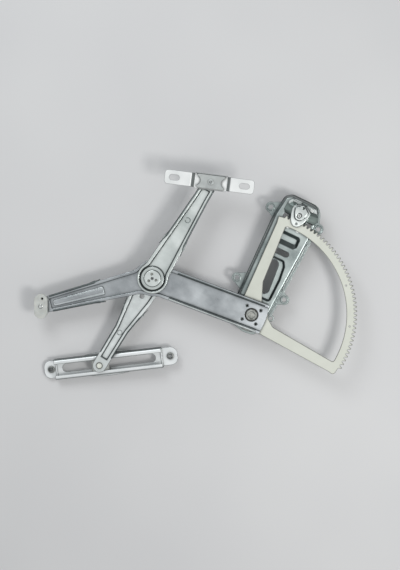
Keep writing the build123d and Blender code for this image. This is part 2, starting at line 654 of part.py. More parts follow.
# ---------------------------------------------------------------- lift slider, at the end of the main arm

LIFT_SLIDER_ANGLE = 115.0
LIFT_SLIDER_LENGTH = 37.0
LIFT_SLIDER_WIDTH = 20.0
LIFT_SLIDER_PLATE = 2.2
LIFT_SLIDER_NECK = 3.0
LIFT_NECK_LENGTH = 27.0
LIFT_NECK_WIDTH = 11.0
LIFT_HOLE_RADIUS = 2.0
LIFT_HOLE_ALONG = 11.7
LIFT_HOLE_ACROSS = -2.5
LIFT_COLLAR_RADIUS = 6.0
LIFT_COLLAR = 0.4
PIN_TAIL_RADIUS = 5.5
PIN_TAIL_HEIGHT = 1.2
PIN_END_RISE = 0.7

lift_slider_z = MAIN_TOP + LIFT_COLLAR + FACE_GAP
lift_slider_height = 2 * LIFT_SLIDER_PLATE + LIFT_SLIDER_NECK

with BuildPart() as lift_pin:
    with BuildSketch(level(LIFT, 0, MAIN_TOP - ARM_SHEET - PIN_TAIL_HEIGHT)):
        Circle(PIN_TAIL_RADIUS)
    extrude(amount=PIN_TAIL_HEIGHT)
    with BuildSketch(level(LIFT, 0, MAIN_TOP - ARM_SHEET)):
        Circle(LIFT_PIN_RADIUS)
    extrude(amount=ARM_SHEET + LIFT_COLLAR + FACE_GAP + lift_slider_height + PIN_END_RISE)
    fillet(lift_pin.edges().filter_by(GeomType.CIRCLE).group_by(Axis.Z)[-1], HEAD_EDGE)
    with BuildSketch(level(LIFT, 0, MAIN_TOP)):
        Circle(LIFT_COLLAR_RADIUS)
    extrude(amount=LIFT_COLLAR)
lift_pin.part.label = "lift_pin"
export_step(lift_pin.part, "parts/lift_pin.step")

# Nylon slider with a waist that runs between the lips of the glass channel
with BuildPart() as lift_slider:
    with BuildSketch(level(LIFT, LIFT_SLIDER_ANGLE, lift_slider_z)):
        SlotOverall(LIFT_SLIDER_LENGTH, LIFT_SLIDER_WIDTH)
    extrude(amount=LIFT_SLIDER_PLATE)
    with BuildSketch(level(LIFT, LIFT_SLIDER_ANGLE, lift_slider_z + LIFT_SLIDER_PLATE + LIFT_SLIDER_NECK)):
        SlotOverall(LIFT_SLIDER_LENGTH, LIFT_SLIDER_WIDTH)
    extrude(amount=LIFT_SLIDER_PLATE)
    fillet(lift_slider.edges().filter_by(Plane.XY), HEAD_EDGE)
    with BuildSketch(level(LIFT, LIFT_SLIDER_ANGLE, lift_slider_z + LIFT_SLIDER_PLATE)):
        SlotOverall(LIFT_NECK_LENGTH, LIFT_NECK_WIDTH)
    extrude(amount=LIFT_SLIDER_NECK)
    with BuildSketch(level(LIFT, LIFT_SLIDER_ANGLE, lift_slider_z)):
        Circle(LIFT_PIN_RADIUS + RUNNING_FIT)
        with Locations((LIFT_HOLE_ALONG, LIFT_HOLE_ACROSS)):
            Circle(LIFT_HOLE_RADIUS)
    extrude(amount=lift_slider_height, mode=Mode.SUBTRACT)
lift_slider.part.label = "lift_slider"
export_step(lift_slider.part, "parts/lift_slider.step")


# ---------------------------------------------------------------- guide rail and its slider

RAIL_CHANNEL_LENGTH = 165.0
RAIL_CHANNEL_WIDTH = 31.0
RAIL_HEIGHT = 12.0
RAIL_OPENING = 17.5
RAIL_CORNER = 3.0
RAIL_SLOT_LENGTH = 144.0
RAIL_SLOT_WIDTH = 13.0
RAIL_BOW_WIDTH = 38.5
RAIL_HOLE_SPACING = 184.0
RAIL_HOLES_AHEAD = 2.6
RAIL_TAB_BEYOND_HOLE = 11.0
RAIL_TAB_WIDTH = 27.5
RAIL_TAB_CORNER = 10.0
RAIL_BEAD_WIDTH = 2.4
RAIL_BEAD_HEIGHT = 1.0
NUT_BORE = 2.5
NUT_RADIUS = 5.0
NUT_HEIGHT = 4.0
NUT_SPIGOT_RADIUS = 3.6
GUIDE_SLIDER_LENGTH = 26.0
GUIDE_NECK_RADIUS = 8.2
GUIDE_BEVEL = 2.4
SLIDE_GAP = 0.3
GUIDE_PIN_HEAD_RISE = 0.4
GUIDE_PIN_HEAD_RADIUS = 5.4

rail_centre = polar(GUIDE, RAIL_CENTRE_AHEAD, RAIL_ANGLE)
rail_holes = [(RAIL_HOLES_AHEAD - RAIL_HOLE_SPACING / 2, 0), (RAIL_HOLES_AHEAD + RAIL_HOLE_SPACING / 2, 0)]
rail_start = polar(rail_centre, -RAIL_CHANNEL_LENGTH / 2, RAIL_ANGLE)
rail_section = Plane(
    origin=(rail_start[0], rail_start[1], 0),
    x_dir=(-sin(radians(RAIL_ANGLE)), cos(radians(RAIL_ANGLE)), 0),
    z_dir=(cos(radians(RAIL_ANGLE)), sin(radians(RAIL_ANGLE)), 0),
)

# Rolled C-channel with a slotted back, bowed side flanges and a tab with a bolt hole at each end
with BuildPart() as guide_rail:
    with BuildSketch(level(rail_centre, RAIL_ANGLE, 0)):
        with Locations((RAIL_HOLES_AHEAD, 0)):
            RectangleRounded(RAIL_HOLE_SPACING + 2 * RAIL_TAB_BEYOND_HOLE, RAIL_TAB_WIDTH, RAIL_TAB_CORNER)
        for side in (1, -1):
            with BuildLine():
                bow = ThreePointArc(
                    (-RAIL_CHANNEL_LENGTH / 2, 0),
                    (0, side * RAIL_BOW_WIDTH / 2),
                    (RAIL_CHANNEL_LENGTH / 2, 0),
                )
                Line(bow @ 1, bow @ 0)
            make_face()
        Rectangle(RAIL_CHANNEL_LENGTH, RAIL_CHANNEL_WIDTH)
        SlotOverall(RAIL_SLOT_LENGTH, RAIL_SLOT_WIDTH, mode=Mode.SUBTRACT)
        with Locations(*rail_holes):
            Circle(NUT_SPIGOT_RADIUS + SEAT_GAP, mode=Mode.SUBTRACT)
    extrude(amount=RAIL_SHEET)
    with BuildSketch(rail_section):
        for side in (1, -1):
            with BuildLine():
                FilletPolyline(
                    (side * (RAIL_SLOT_WIDTH / 2 + RAIL_SHEET), RAIL_SHEET / 2),
                    (side * (RAIL_CHANNEL_WIDTH - RAIL_SHEET) / 2, RAIL_SHEET / 2),
                    (side * (RAIL_CHANNEL_WIDTH - RAIL_SHEET) / 2, RAIL_HEIGHT - RAIL_SHEET / 2),
                    (side * RAIL_OPENING / 2, RAIL_HEIGHT - RAIL_SHEET / 2),
                    radius=RAIL_CORNER,
                )
            trace(line_width=RAIL_SHEET)
    extrude(amount=RAIL_CHANNEL_LENGTH)
    with BuildSketch(level(rail_centre, RAIL_ANGLE, RAIL_SHEET)):
        with GridLocations(RAIL_CHANNEL_LENGTH - RAIL_BEAD_WIDTH, 0, 2, 1):
            Rectangle(RAIL_BEAD_WIDTH, RAIL_CHANNEL_WIDTH - 2 * RAIL_SHEET)
    extrude(amount=RAIL_BEAD_HEIGHT)
guide_rail.part.label = "guide_rail"
export_step(guide_rail.part, "parts/guide_rail.step")

# Two threaded rivet nuts in the tabs
with BuildPart() as rail_nuts:
    with BuildSketch(level(rail_centre, RAIL_ANGLE, 0)):
        with Locations(*rail_holes):
            Circle(NUT_SPIGOT_RADIUS)
    extrude(amount=RAIL_SHEET)
    with BuildSketch(level(rail_centre, RAIL_ANGLE, RAIL_SHEET)):
        with Locations(*rail_holes):
            Circle(NUT_RADIUS)
    extrude(amount=NUT_HEIGHT - RAIL_SHEET)
    fillet(rail_nuts.edges().filter_by(GeomType.CIRCLE).group_by(Axis.Z)[-1], HEAD_EDGE)
    with BuildSketch(level(rail_centre, RAIL_ANGLE, 0)):
        with Locations(*rail_holes):
            Circle(NUT_BORE)
    extrude(amount=NUT_HEIGHT, mode=Mode.SUBTRACT)
rail_nuts.part.label = "rail_nuts"
export_step(rail_nuts.part, "parts/rail_nuts.step")

# Nylon block in the channel, with a round neck that carries the pin
guide_block_top = RAIL_HEIGHT - RAIL_SHEET - SLIDE_GAP
guide_neck_top = LOWER_TOP - ARM_SHEET - FACE_GAP
with BuildPart() as guide_slider:
    with BuildSketch(level(GUIDE, RAIL_ANGLE, RAIL_SHEET + SLIDE_GAP)):
        RectangleRounded(
            GUIDE_SLIDER_LENGTH,
            RAIL_CHANNEL_WIDTH - 2 * RAIL_SHEET - 2 * SLIDE_GAP,
            RAIL_CORNER,
        )
    extrude(amount=guide_block_top - RAIL_SHEET - SLIDE_GAP)
    chamfer(guide_slider.edges().filter_by(Plane.XY), GUIDE_BEVEL)
    with BuildSketch(level(GUIDE, 0, guide_block_top)):
        Circle(GUIDE_NECK_RADIUS)
    extrude(amount=guide_neck_top - guide_block_top)
    with BuildSketch(level(GUIDE, 0, 0)):
        Circle(GUIDE_PIN_RADIUS + RUNNING_FIT)
    extrude(amount=guide_neck_top, mode=Mode.SUBTRACT)
guide_slider.part.label = "guide_slider"
export_step(guide_slider.part, "parts/guide_slider.step")

with BuildPart() as guide_pin:
    with BuildSketch(level(GUIDE, 0, RAIL_SHEET + 2 * SLIDE_GAP)):
        Circle(GUIDE_PIN_RADIUS)
    extrude(amount=LOWER_TOP - RAIL_SHEET - 2 * SLIDE_GAP)
    with BuildSketch(level(GUIDE, 0, LOWER_TOP)):
        Circle(GUIDE_PIN_HEAD_RADIUS)
    extrude(amount=GUIDE_PIN_HEAD_RISE)
guide_pin.part.label = "guide_pin"
export_step(guide_pin.part, "parts/guide_pin.step")


# ---------------------------------------------------------------- glass bracket

BRACKET_LENGTH = 132.0
BRACKET_CENTRE_AHEAD = -2.0
BRACKET_PLATE_WIDTH = 20.7
BRACKET_MIDDLE_LENGTH = 48.5
BRACKET_MIDDLE_WIDTH = 23.5
BRACKET_STEP = 5.6
BRACKET_STEP_RUN = 5.0
BRACKET_BEND = 1.6
BRACKET_CORNER = 5.0
BRACKET_SLOT_SPACING = 103.0
BRACKET_SLOT_LENGTH = 15.0
BRACKET_SLOT_WIDTH = 8.0
UPSTAND_HEIGHT = 3.0
INSERT_LENGTH = 41.0
INSERT_WIDTH = 20.0
INSERT_HEIGHT = 4.0
INSERT_SCALLOP = 7.5
INSERT_CORNER = 2.0
BRACKET_COLLAR_RADIUS = 7.0
BRACKET_HEAD_RADIUS = 4.6
BRACKET_HEAD_HEIGHT = 1.0

bracket_z = UPPER_TOP + PASS_GAP
insert_z = bracket_z + BRACKET_SHEET
insert_top = insert_z + INSERT_HEIGHT
middle_half = BRACKET_MIDDLE_LENGTH / 2
step_end = middle_half + BRACKET_STEP_RUN
bracket_section = Plane(
    origin=(GLASS[0], GLASS[1], bracket_z + BRACKET_SHEET / 2),
    x_dir=(cos(radians(BRACKET_ANGLE)), sin(radians(BRACKET_ANGLE)), 0),
    z_dir=(sin(radians(BRACKET_ANGLE)), -cos(radians(BRACKET_ANGLE)), 0),
)

# Strap with raised ends for the two glass screws and a low middle that seats the insert
with BuildPart() as glass_bracket:
    with BuildSketch(bracket_section):
        with BuildLine():
            FilletPolyline(
                (BRACKET_CENTRE_AHEAD - BRACKET_LENGTH / 2, BRACKET_STEP),
                (-step_end, BRACKET_STEP),
                (-middle_half, 0),
                (middle_half, 0),
                (step_end, BRACKET_STEP),
                (BRACKET_CENTRE_AHEAD + BRACKET_LENGTH / 2, BRACKET_STEP),
                radius=BRACKET_BEND,
            )
        trace(line_width=BRACKET_SHEET)
    extrude(amount=BRACKET_MIDDLE_WIDTH / 2, both=True)
    with BuildSketch(level(GLASS, BRACKET_ANGLE, bracket_z)):
        with Locations((BRACKET_CENTRE_AHEAD, 0)):
            RectangleRounded(BRACKET_LENGTH, BRACKET_PLATE_WIDTH, BRACKET_CORNER)
        RectangleRounded(BRACKET_MIDDLE_LENGTH, BRACKET_MIDDLE_WIDTH, INSERT_CORNER)
        with Locations((BRACKET_CENTRE_AHEAD, 0)):
            with GridLocations(BRACKET_SLOT_SPACING, 0, 2, 1):
                SlotOverall(BRACKET_SLOT_LENGTH, BRACKET_SLOT_WIDTH, mode=Mode.SUBTRACT)
        Circle(BRACKET_PIN_RADIUS + RUNNING_FIT, mode=Mode.SUBTRACT)
    extrude(amount=BRACKET_STEP + BRACKET_SHEET, mode=Mode.INTERSECT)
    with BuildSketch(level(GLASS, BRACKET_ANGLE, bracket_z)):
        with Locations((0, (BRACKET_MIDDLE_WIDTH - RAIL_SHEET) / 2)):
            Rectangle(BRACKET_MIDDLE_LENGTH - 2 * INSERT_CORNER, RAIL_SHEET)
    extrude(amount=BRACKET_SHEET + UPSTAND_HEIGHT)
glass_bracket.part.label = "glass_bracket"
export_step(glass_bracket.part, "parts/glass_bracket.step")

# Moulded insert with scalloped ends that the pin turns in
with BuildPart() as bracket_insert:
    with BuildSketch(level(GLASS, BRACKET_ANGLE, insert_z)):
        RectangleRounded(INSERT_LENGTH, INSERT_WIDTH, INSERT_CORNER)
        with Locations((-INSERT_LENGTH / 2 - INSERT_CORNER, 0), (INSERT_LENGTH / 2 + INSERT_CORNER, 0)):
            Circle(INSERT_SCALLOP, mode=Mode.SUBTRACT)
    extrude(amount=INSERT_HEIGHT)
    fillet(bracket_insert.edges().filter_by(Plane.XY).group_by(Axis.Z)[-1], HEAD_EDGE)
    with BuildSketch(level(GLASS, 0, insert_z)):
        Circle(BRACKET_PIN_RADIUS + RUNNING_FIT)
    extrude(amount=INSERT_HEIGHT, mode=Mode.SUBTRACT)
bracket_insert.part.label = "bracket_insert"
export_step(bracket_insert.part, "parts/bracket_insert.step")

with BuildPart() as bracket_pin:
    with BuildSketch(level(GLASS, 0, UPPER_TOP - ARM_SHEET - PIN_TAIL_HEIGHT)):
        Circle(PIN_TAIL_RADIUS)
    extrude(amount=PIN_TAIL_HEIGHT)
    with BuildSketch(level(GLASS, 0, UPPER_TOP - ARM_SHEET)):
        Circle(BRACKET_PIN_RADIUS)
    extrude(amount=ARM_SHEET + PASS_GAP + BRACKET_SHEET + INSERT_HEIGHT + FACE_GAP)
    with BuildSketch(level(GLASS, 0, insert_top + FACE_GAP)):
        Circle(BRACKET_HEAD_RADIUS)
    extrude(amount=BRACKET_HEAD_HEIGHT)
    fillet(bracket_pin.edges().filter_by(GeomType.CIRCLE).group_by(Axis.Z)[-1], HEAD_EDGE)
    with BuildSketch(level(GLASS, 0, UPPER_TOP)):
        Circle(BRACKET_COLLAR_RADIUS)
    extrude(amount=PASS_GAP - FACE_GAP)
bracket_pin.part.label = "bracket_pin"
export_step(bracket_pin.part, "parts/bracket_pin.step")


# ---------------------------------------------------------------- base plate

# Corners of the flange's outline, going round from the lower right
BASE_CORNERS = [
    (33.5, -68.0), (38.6, 42.0), (37.5, 66.0), (33.0, 79.0), (27.0, 87.0), (20.0, 89.5),
    (-17.0, 89.5), (-27.0, 83.0), (-31.2, 52.0), (-28.5, -76.0), (-26.0, -105.0),
    (-15.5, -124.5), (4.0, -129.0), (21.0, -127.0), (31.5, -106.0), (33.0, -88.0),
]
BASE_CORNER_RADIUS = 11.0
BASE_FLANGE = 2.0
BASE_WALL_SHIFT = (-1.5, 1.5)
BASE_WALL_ANGLE = 12.0
BASE_TOP_EDGE = 2.2
EAR_RADIUS = 8.0
EAR_ROOT_WIDTH = 30.0
EAR_ROOT_REACH = 12.8
EAR_RING_RADIUS = 5.6
EAR_RING_RISE = 0.6
SHAFT_OPENING_RADIUS = 11.2
SHAFT_WINDOW_LENGTH = 45.0
SHAFT_WINDOW_WIDTH = 13.0
SHAFT_WINDOW_DROP = 8.0
POCKET_PLACE = (1.0, 25.7)
POCKET_SIZE = (41.0, 20.5)
POCKET_CORNER = 5.5
POCKET_FLOOR_PLACE = (0.5, 27.0)
POCKET_FLOOR_SIZE = (34.0, 8.0)
POCKET_FLOOR_CORNER = 2.5
POCKET_DEPTH = 6.0
SLOT_PLACE = (1.0, 4.7)
SLOT_LENGTH = 30.0
SLOT_WIDTH = 8.5
DISH_CORNERS = [
    (13.5, -4.5), (18.5, -13.0), (21.0, -34.0), (20.5, -71.0),
    (-11.0, -71.0), (-15.0, -34.0), (-11.0, -4.5),
]
DISH_CORNER_RADIUS = 5.0
DISH_DEPTH = 4.0
DISH_TAPER = 40.0
PRESS_EDGE = 0.8
WINDOW_PLACE = (2.8, -36.0)
WINDOW_LENGTH = 54.0
WINDOW_WIDTH = 16.0
WINDOW_ANGLE = -85.0
KNOB_PLACE = (33.5, -92.5)
KNOB_RADIUS = 5.0
KNOB_HOLE_RADIUS = 2.6
BRIDGE_RIVET_PLACES = [(-13.8, 14.5), (13.8, 14.5)]
BRIDGE_RIVET_RADIUS = 1.6
DRUM_RIVET_CIRCLE = 23.0
DRUM_RIVET_START = 250.0
DRUM_RIVET_SPREAD = 40.0

with BuildSketch(mode=Mode.PRIVATE) as base_outline:
    with BuildLine():
        Polyline(*BASE_CORNERS, close=True)
    make_face()
    fillet(base_outline.vertices(), BASE_CORNER_RADIUS)

with BuildSketch(mode=Mode.PRIVATE) as dish_outline:
    with BuildLine():
        Polyline(*DISH_CORNERS, close=True)
    make_face()
    fillet(dish_outline.vertices(), DISH_CORNER_RADIUS)

panel_under = BASE_HEIGHT - BASE_SHEET


def wall_outline(inset):
    """The outline of the tray's wall at its foot, drawn in by an inset."""
    with BuildSketch(mode=Mode.PRIVATE) as foot:
        with Locations(BASE_WALL_SHIFT):
            add(base_outline.sketch)
        offset(amount=-BASE_FLANGE - inset, kind=Kind.ARC)
    return foot.sketch


def pressed_pocket(grown, top):
    """A pocket with sloping sides below a height, grown all round by an amount."""
    with BuildPart(mode=Mode.PRIVATE) as pocket:
        with BuildSketch(Plane.XY.offset(top)):
            with Locations(POCKET_PLACE):
                RectangleRounded(POCKET_SIZE[0] + 2 * grown, POCKET_SIZE[1] + 2 * grown, POCKET_CORNER)
        with BuildSketch(Plane.XY.offset(top - POCKET_DEPTH)):
            with Locations(POCKET_FLOOR_PLACE):
                RectangleRounded(
                    POCKET_FLOOR_SIZE[0] + 2 * grown,
                    POCKET_FLOOR_SIZE[1] + 2 * grown,
                    POCKET_FLOOR_CORNER,
                )
        loft(ruled=True)
    return pocket.part


# Deep-drawn tray: flange and four ears on the door panel, sloping walls, flat top with pressings
with BuildPart() as base_plate:
    with BuildSketch(Plane.XY):
        add(base_outline.sketch)
        with GridLocations(BOLT_SPACING_X, BOLT_SPACING_Y, 2, 2):
            Circle(EAR_RADIUS)
        for side in (1, -1):
            for end in (1, -1):
                ear = (side * BOLT_SPACING_X / 2, end * BOLT_SPACING_Y / 2)
                root_x = side * (BOLT_SPACING_X / 2 - EAR_ROOT_REACH)
                with BuildLine():
                    Polyline(
                        (ear[0], ear[1] + EAR_RADIUS),
                        (root_x, ear[1] + EAR_ROOT_WIDTH / 2),
                        (root_x, ear[1] - EAR_ROOT_WIDTH / 2),
                        (ear[0], ear[1] - EAR_RADIUS),
                        close=True,
                    )
                make_face()
        with Locations(KNOB_PLACE):
            Circle(KNOB_RADIUS)
    extrude(amount=BASE_SHEET)
    with BuildSketch(Plane.XY):
        add(wall_outline(0))
    extrude(amount=BASE_HEIGHT, taper=BASE_WALL_ANGLE)
    fillet(base_plate.edges().filter_by(Plane.XY).group_by(Axis.Z)[-1], BASE_TOP_EDGE)
    with BuildSketch(Plane.XY):
        add(wall_outline(BASE_SHEET))
    extrude(amount=panel_under, taper=BASE_WALL_ANGLE, mode=Mode.SUBTRACT)
    add(pressed_pocket(BASE_SHEET / 2, panel_under))
    with BuildSketch(Plane.XY.offset(panel_under)):
        add(dish_outline.sketch)
        offset(amount=BASE_SHEET / 2, kind=Kind.ARC)
    extrude(amount=-DISH_DEPTH, taper=DISH_TAPER)
    add(pressed_pocket(0, BASE_HEIGHT), mode=Mode.SUBTRACT)
    fillet(base_plate.edges(Select.LAST).filter_by(Plane.XY).group_by(Axis.Z)[-1], PRESS_EDGE)
    with BuildSketch(Plane.XY.offset(BASE_HEIGHT)):
        add(dish_outline.sketch)
    extrude(amount=-DISH_DEPTH, taper=DISH_TAPER, mode=Mode.SUBTRACT)
    fillet(base_plate.edges(Select.LAST).filter_by(Plane.XY).group_by(Axis.Z)[-1], PRESS_EDGE)
    with BuildSketch(Plane.XY):
        with Locations(Location(WINDOW_PLACE, WINDOW_ANGLE)):
            SlotOverall(WINDOW_LENGTH, WINDOW_WIDTH)
        with Locations(SLOT_PLACE):
            SlotOverall(SLOT_LENGTH, SLOT_WIDTH)
        with Locations(SHAFT):
            Circle(SHAFT_OPENING_RADIUS)
        with Locations((SHAFT[0], SHAFT[1] - SHAFT_WINDOW_DROP)):
            SlotOverall(SHAFT_WINDOW_LENGTH, SHAFT_WINDOW_WIDTH)
        with Locations(PIVOT):
            Circle(STUD_RADIUS + SEAT_GAP)
        with Locations(KNOB_PLACE):
            Circle(KNOB_HOLE_RADIUS)
    extrude(amount=BASE_HEIGHT, mode=Mode.SUBTRACT)
    with BuildSketch(level(SHAFT, 0, panel_under)):
        with Locations(BRIDGE_RIVET_PLACES):
            Circle(BRIDGE_RIVET_RADIUS + SEAT_GAP)
        with PolarLocations(DRUM_RIVET_CIRCLE, 2, DRUM_RIVET_START, DRUM_RIVET_SPREAD, endpoint=True):
            Circle(BRIDGE_RIVET_RADIUS + SEAT_GAP)
    extrude(amount=BASE_SHEET, mode=Mode.SUBTRACT)
    with BuildSketch(Plane.XY.offset(BASE_SHEET)):
        with GridLocations(BOLT_SPACING_X, BOLT_SPACING_Y, 2, 2):
            Circle(EAR_RING_RADIUS)
    extrude(amount=EAR_RING_RISE)
    with BuildSketch(Plane.XY):
        with GridLocations(BOLT_SPACING_X, BOLT_SPACING_Y, 2, 2):
            Circle(BOLT_HOLE_RADIUS)
    extrude(amount=BASE_SHEET + EAR_RING_RISE, mode=Mode.SUBTRACT)
base_plate.part.label = "base_plate"
export_step(base_plate.part, "parts/base_plate.step")


# ---------------------------------------------------------------- pinion bridge

BRIDGE_SHEET = 1.5
BRIDGE_TOP = 24.5
LOBE_TOP = 21.5
PLATFORM_SLOPE = 1.1
BRIDGE_EDGE = 0.7
FOOT_CORNERS = [(-23.5, 12.5), (-19.5, 18.6), (-4.5, 18.6), (-4.5, 13.0), (-11.0, 7.0), (-21.5, 8.5)]
LOBE_CORNERS = [
    (0.0, 18.7), (-13.6, 10.5), (-14.0, 5.0), (-12.8, -1.0), (-10.0, -9.5), (-6.2, -14.8), (-2.5, -17.2),
]
PLATFORM_CORNERS = [(0.0, 18.0), (-11.2, 9.0), (-8.9, 0.5), (-6.2, -5.0), (-2.8, -7.4)]
BRIDGE_CORNER_RADIUS = 2.4
RIM_PASSAGE_DROP = 4.0
TONGUE_DIMPLE_PLACE = (1.0, -12.5)
TONGUE_DIMPLE_RADIUS = 1.7
TONGUE_DIMPLE_DEPTH = 0.7
BRIDGE_RIVET_HEAD_RADIUS = 2.8
BRIDGE_RIVET_HEAD = 0.9
GREASE_HOLE_PLACE = (1.0, 12.6)
GREASE_HOLE_RADIUS = 1.8
BRIDGE_JOURNAL_RADIUS = 3.0
BRIDGE_COUNTERSINK = 1.0


def mirrored(corners):
    """A loop of corners and their mirror images in the Y axis; the first corner lies on the axis."""
    return corners + [(-x, y) for x, y in reversed(corners[1:])]


lobe_under = LOBE_TOP - BRIDGE_SHEET
platform_under = BRIDGE_TOP - BRIDGE_SHEET


def bridge_outline(corners, inset):
    """A mirrored outline of the bridge with rounded corners, drawn in by an inset."""
    with BuildSketch(mode=Mode.PRIVATE) as outline:
        with BuildLine():
            Polyline(*mirrored(corners), close=True)
        make_face()
        fillet(outline.vertices(), BRIDGE_CORNER_RADIUS)
        if inset > 0:
            offset(amount=-inset, kind=Kind.ARC)
    return outline.sketch


# Stamped bridge over the pinion: two riveted feet, a lobe that reaches over the rim, a raised platform
with BuildPart() as pinion_bridge:
    with BuildSketch(level(SHAFT, 0, BASE_HEIGHT)):
        add(bridge_outline(LOBE_CORNERS, 0))
    extrude(amount=LOBE_TOP - BASE_HEIGHT)
    fillet(pinion_bridge.edges().filter_by(Plane.XY).group_by(Axis.Z)[-1], BRIDGE_EDGE)
    with BuildSketch(level(SHAFT, 0, LOBE_TOP)):
        add(bridge_outline(PLATFORM_CORNERS, 0))
    with BuildSketch(level(SHAFT, 0, BRIDGE_TOP)):
        add(bridge_outline(PLATFORM_CORNERS, PLATFORM_SLOPE))
    loft(ruled=True)
    fillet(pinion_bridge.edges().filter_by(Plane.XY).group_by(Axis.Z)[-1], BRIDGE_EDGE)
    with BuildSketch(level(SHAFT, 0, BASE_HEIGHT)):
        with BuildLine():
            Polyline(*FOOT_CORNERS, close=True)
        make_face()
        mirror(about=Plane.YZ)
    extrude(amount=BRIDGE_SHEET)
    with BuildSketch(level(SHAFT, 0, BASE_HEIGHT)):
        add(bridge_outline(LOBE_CORNERS, BRIDGE_SHEET))
    extrude(amount=lobe_under - BASE_HEIGHT, mode=Mode.SUBTRACT)
    with BuildSketch(level(SHAFT, 0, lobe_under)):
        add(bridge_outline(PLATFORM_CORNERS, BRIDGE_SHEET + PLATFORM_SLOPE / 2))
    extrude(amount=platform_under - lobe_under, mode=Mode.SUBTRACT)
    with BuildSketch(level(SHAFT, 0, BASE_HEIGHT)):
        with Locations((0, -RIM_PASSAGE_DROP - SHAFT_WINDOW_LENGTH / 2)):
            Rectangle(SHAFT_WINDOW_LENGTH, SHAFT_WINDOW_LENGTH)
    extrude(amount=lobe_under - BASE_HEIGHT, mode=Mode.SUBTRACT)
    with BuildSketch(level(SHAFT, 0, LOBE_TOP)):
        with Locations(TONGUE_DIMPLE_PLACE):
            Circle(TONGUE_DIMPLE_RADIUS)
    extrude(amount=-TONGUE_DIMPLE_DEPTH, mode=Mode.SUBTRACT)
    with BuildSketch(level(SHAFT, 0, BASE_HEIGHT)):
        with Locations(BRIDGE_RIVET_PLACES):
            Circle(BRIDGE_RIVET_RADIUS + SEAT_GAP)
        with Locations(GREASE_HOLE_PLACE):
            Circle(GREASE_HOLE_RADIUS)
        Circle(BRIDGE_JOURNAL_RADIUS + RUNNING_FIT)
    extrude(amount=BRIDGE_TOP - BASE_HEIGHT, mode=Mode.SUBTRACT)
    chamfer(pinion_bridge.edges().filter_by(GeomType.CIRCLE).filter_by(
        lambda edge: abs(edge.radius - BRIDGE_JOURNAL_RADIUS - RUNNING_FIT) < MATCH).group_by(Axis.Z)[-1],
        BRIDGE_COUNTERSINK)
pinion_bridge.part.label = "pinion_bridge"
export_step(pinion_bridge.part, "parts/pinion_bridge.step")

# Two rivets that hold the bridge's feet and the drum's flange to the base plate
drum_flange_under = panel_under - BRIDGE_SHEET
with BuildPart() as bridge_rivets:
    with BuildSketch(level(SHAFT, 0, drum_flange_under)):
        with Locations(BRIDGE_RIVET_PLACES):
            Circle(BRIDGE_RIVET_RADIUS)
    extrude(amount=BASE_HEIGHT + BRIDGE_SHEET - drum_flange_under)
    with BuildSketch(level(SHAFT, 0, BASE_HEIGHT + BRIDGE_SHEET)):
        with Locations(BRIDGE_RIVET_PLACES):
            Circle(BRIDGE_RIVET_HEAD_RADIUS)
    extrude(amount=BRIDGE_RIVET_HEAD)
    fillet(bridge_rivets.edges().filter_by(GeomType.CIRCLE).group_by(Axis.Z)[-1], BRIDGE_RIVET_HEAD / 2)
bridge_rivets.part.label = "bridge_rivets"
export_step(bridge_rivets.part, "parts/bridge_rivets.step")


# ---------------------------------------------------------------- brake drum

DRUM_RADIUS = 16.0
DRUM_SHEET = 1.5
DRUM_FLANGE_RADIUS = 26.5
DRUM_FLOOR = -6.0
DRUM_COVER = 1.5
COVER_COLLAR_RADIUS = 8.5
COVER_COLLAR = 3.0
SPINDLE_RADIUS = 5.5
DRUM_RIVET_HEAD = 0.8

drum_inner = DRUM_RADIUS - DRUM_SHEET
drum_flange_inset = 2 * BASE_SHEET + panel_under * tan(radians(BASE_WALL_ANGLE))

# Open drum behind the head; its flange is cut away where the rim of the sector passes
with BuildPart() as brake_drum:
    with BuildSketch(Plane.XY.offset(drum_flange_under)):
        add(wall_outline(drum_flange_inset))
        with Locations(SHAFT):
            Circle(DRUM_FLANGE_RADIUS, mode=Mode.INTERSECT)
        with Locations((SHAFT[0], SHAFT[1] - SHAFT_WINDOW_DROP)):
            Rectangle(2 * DRUM_FLANGE_RADIUS, SHAFT_WINDOW_WIDTH, mode=Mode.SUBTRACT)
        with Locations(SHAFT):
            Circle(DRUM_RADIUS)
    extrude(amount=BRIDGE_SHEET)
    with BuildSketch(level(SHAFT, 0, DRUM_FLOOR)):
        Circle(DRUM_RADIUS)
    extrude(amount=drum_flange_under - DRUM_FLOOR)
    with BuildSketch(level(SHAFT, 0, DRUM_FLOOR)):
        Circle(drum_inner)
    extrude(amount=panel_under - DRUM_FLOOR, mode=Mode.SUBTRACT)
    with BuildSketch(level(SHAFT, 0, drum_flange_under)):
        with Locations(BRIDGE_RIVET_PLACES):
            Circle(BRIDGE_RIVET_RADIUS + SEAT_GAP)
        with PolarLocations(DRUM_RIVET_CIRCLE, 2, DRUM_RIVET_START, DRUM_RIVET_SPREAD, endpoint=True):
            Circle(BRIDGE_RIVET_RADIUS + SEAT_GAP)
    extrude(amount=BRIDGE_SHEET, mode=Mode.SUBTRACT)
brake_drum.part.label = "brake_drum"
export_step(brake_drum.part, "parts/brake_drum.step")

with BuildPart() as drum_rivets:
    with BuildSketch(level(SHAFT, 0, drum_flange_under)):
        with PolarLocations(DRUM_RIVET_CIRCLE, 2, DRUM_RIVET_START, DRUM_RIVET_SPREAD, endpoint=True):
            Circle(BRIDGE_RIVET_RADIUS)
    extrude(amount=BASE_HEIGHT - drum_flange_under)
    with BuildSketch(level(SHAFT, 0, BASE_HEIGHT)):
        with PolarLocations(DRUM_RIVET_CIRCLE, 2, DRUM_RIVET_START, DRUM_RIVET_SPREAD, endpoint=True):
            Circle(BRIDGE_RIVET_HEAD_RADIUS)
    extrude(amount=DRUM_RIVET_HEAD)
drum_rivets.part.label = "drum_rivets"
export_step(drum_rivets.part, "parts/drum_rivets.step")

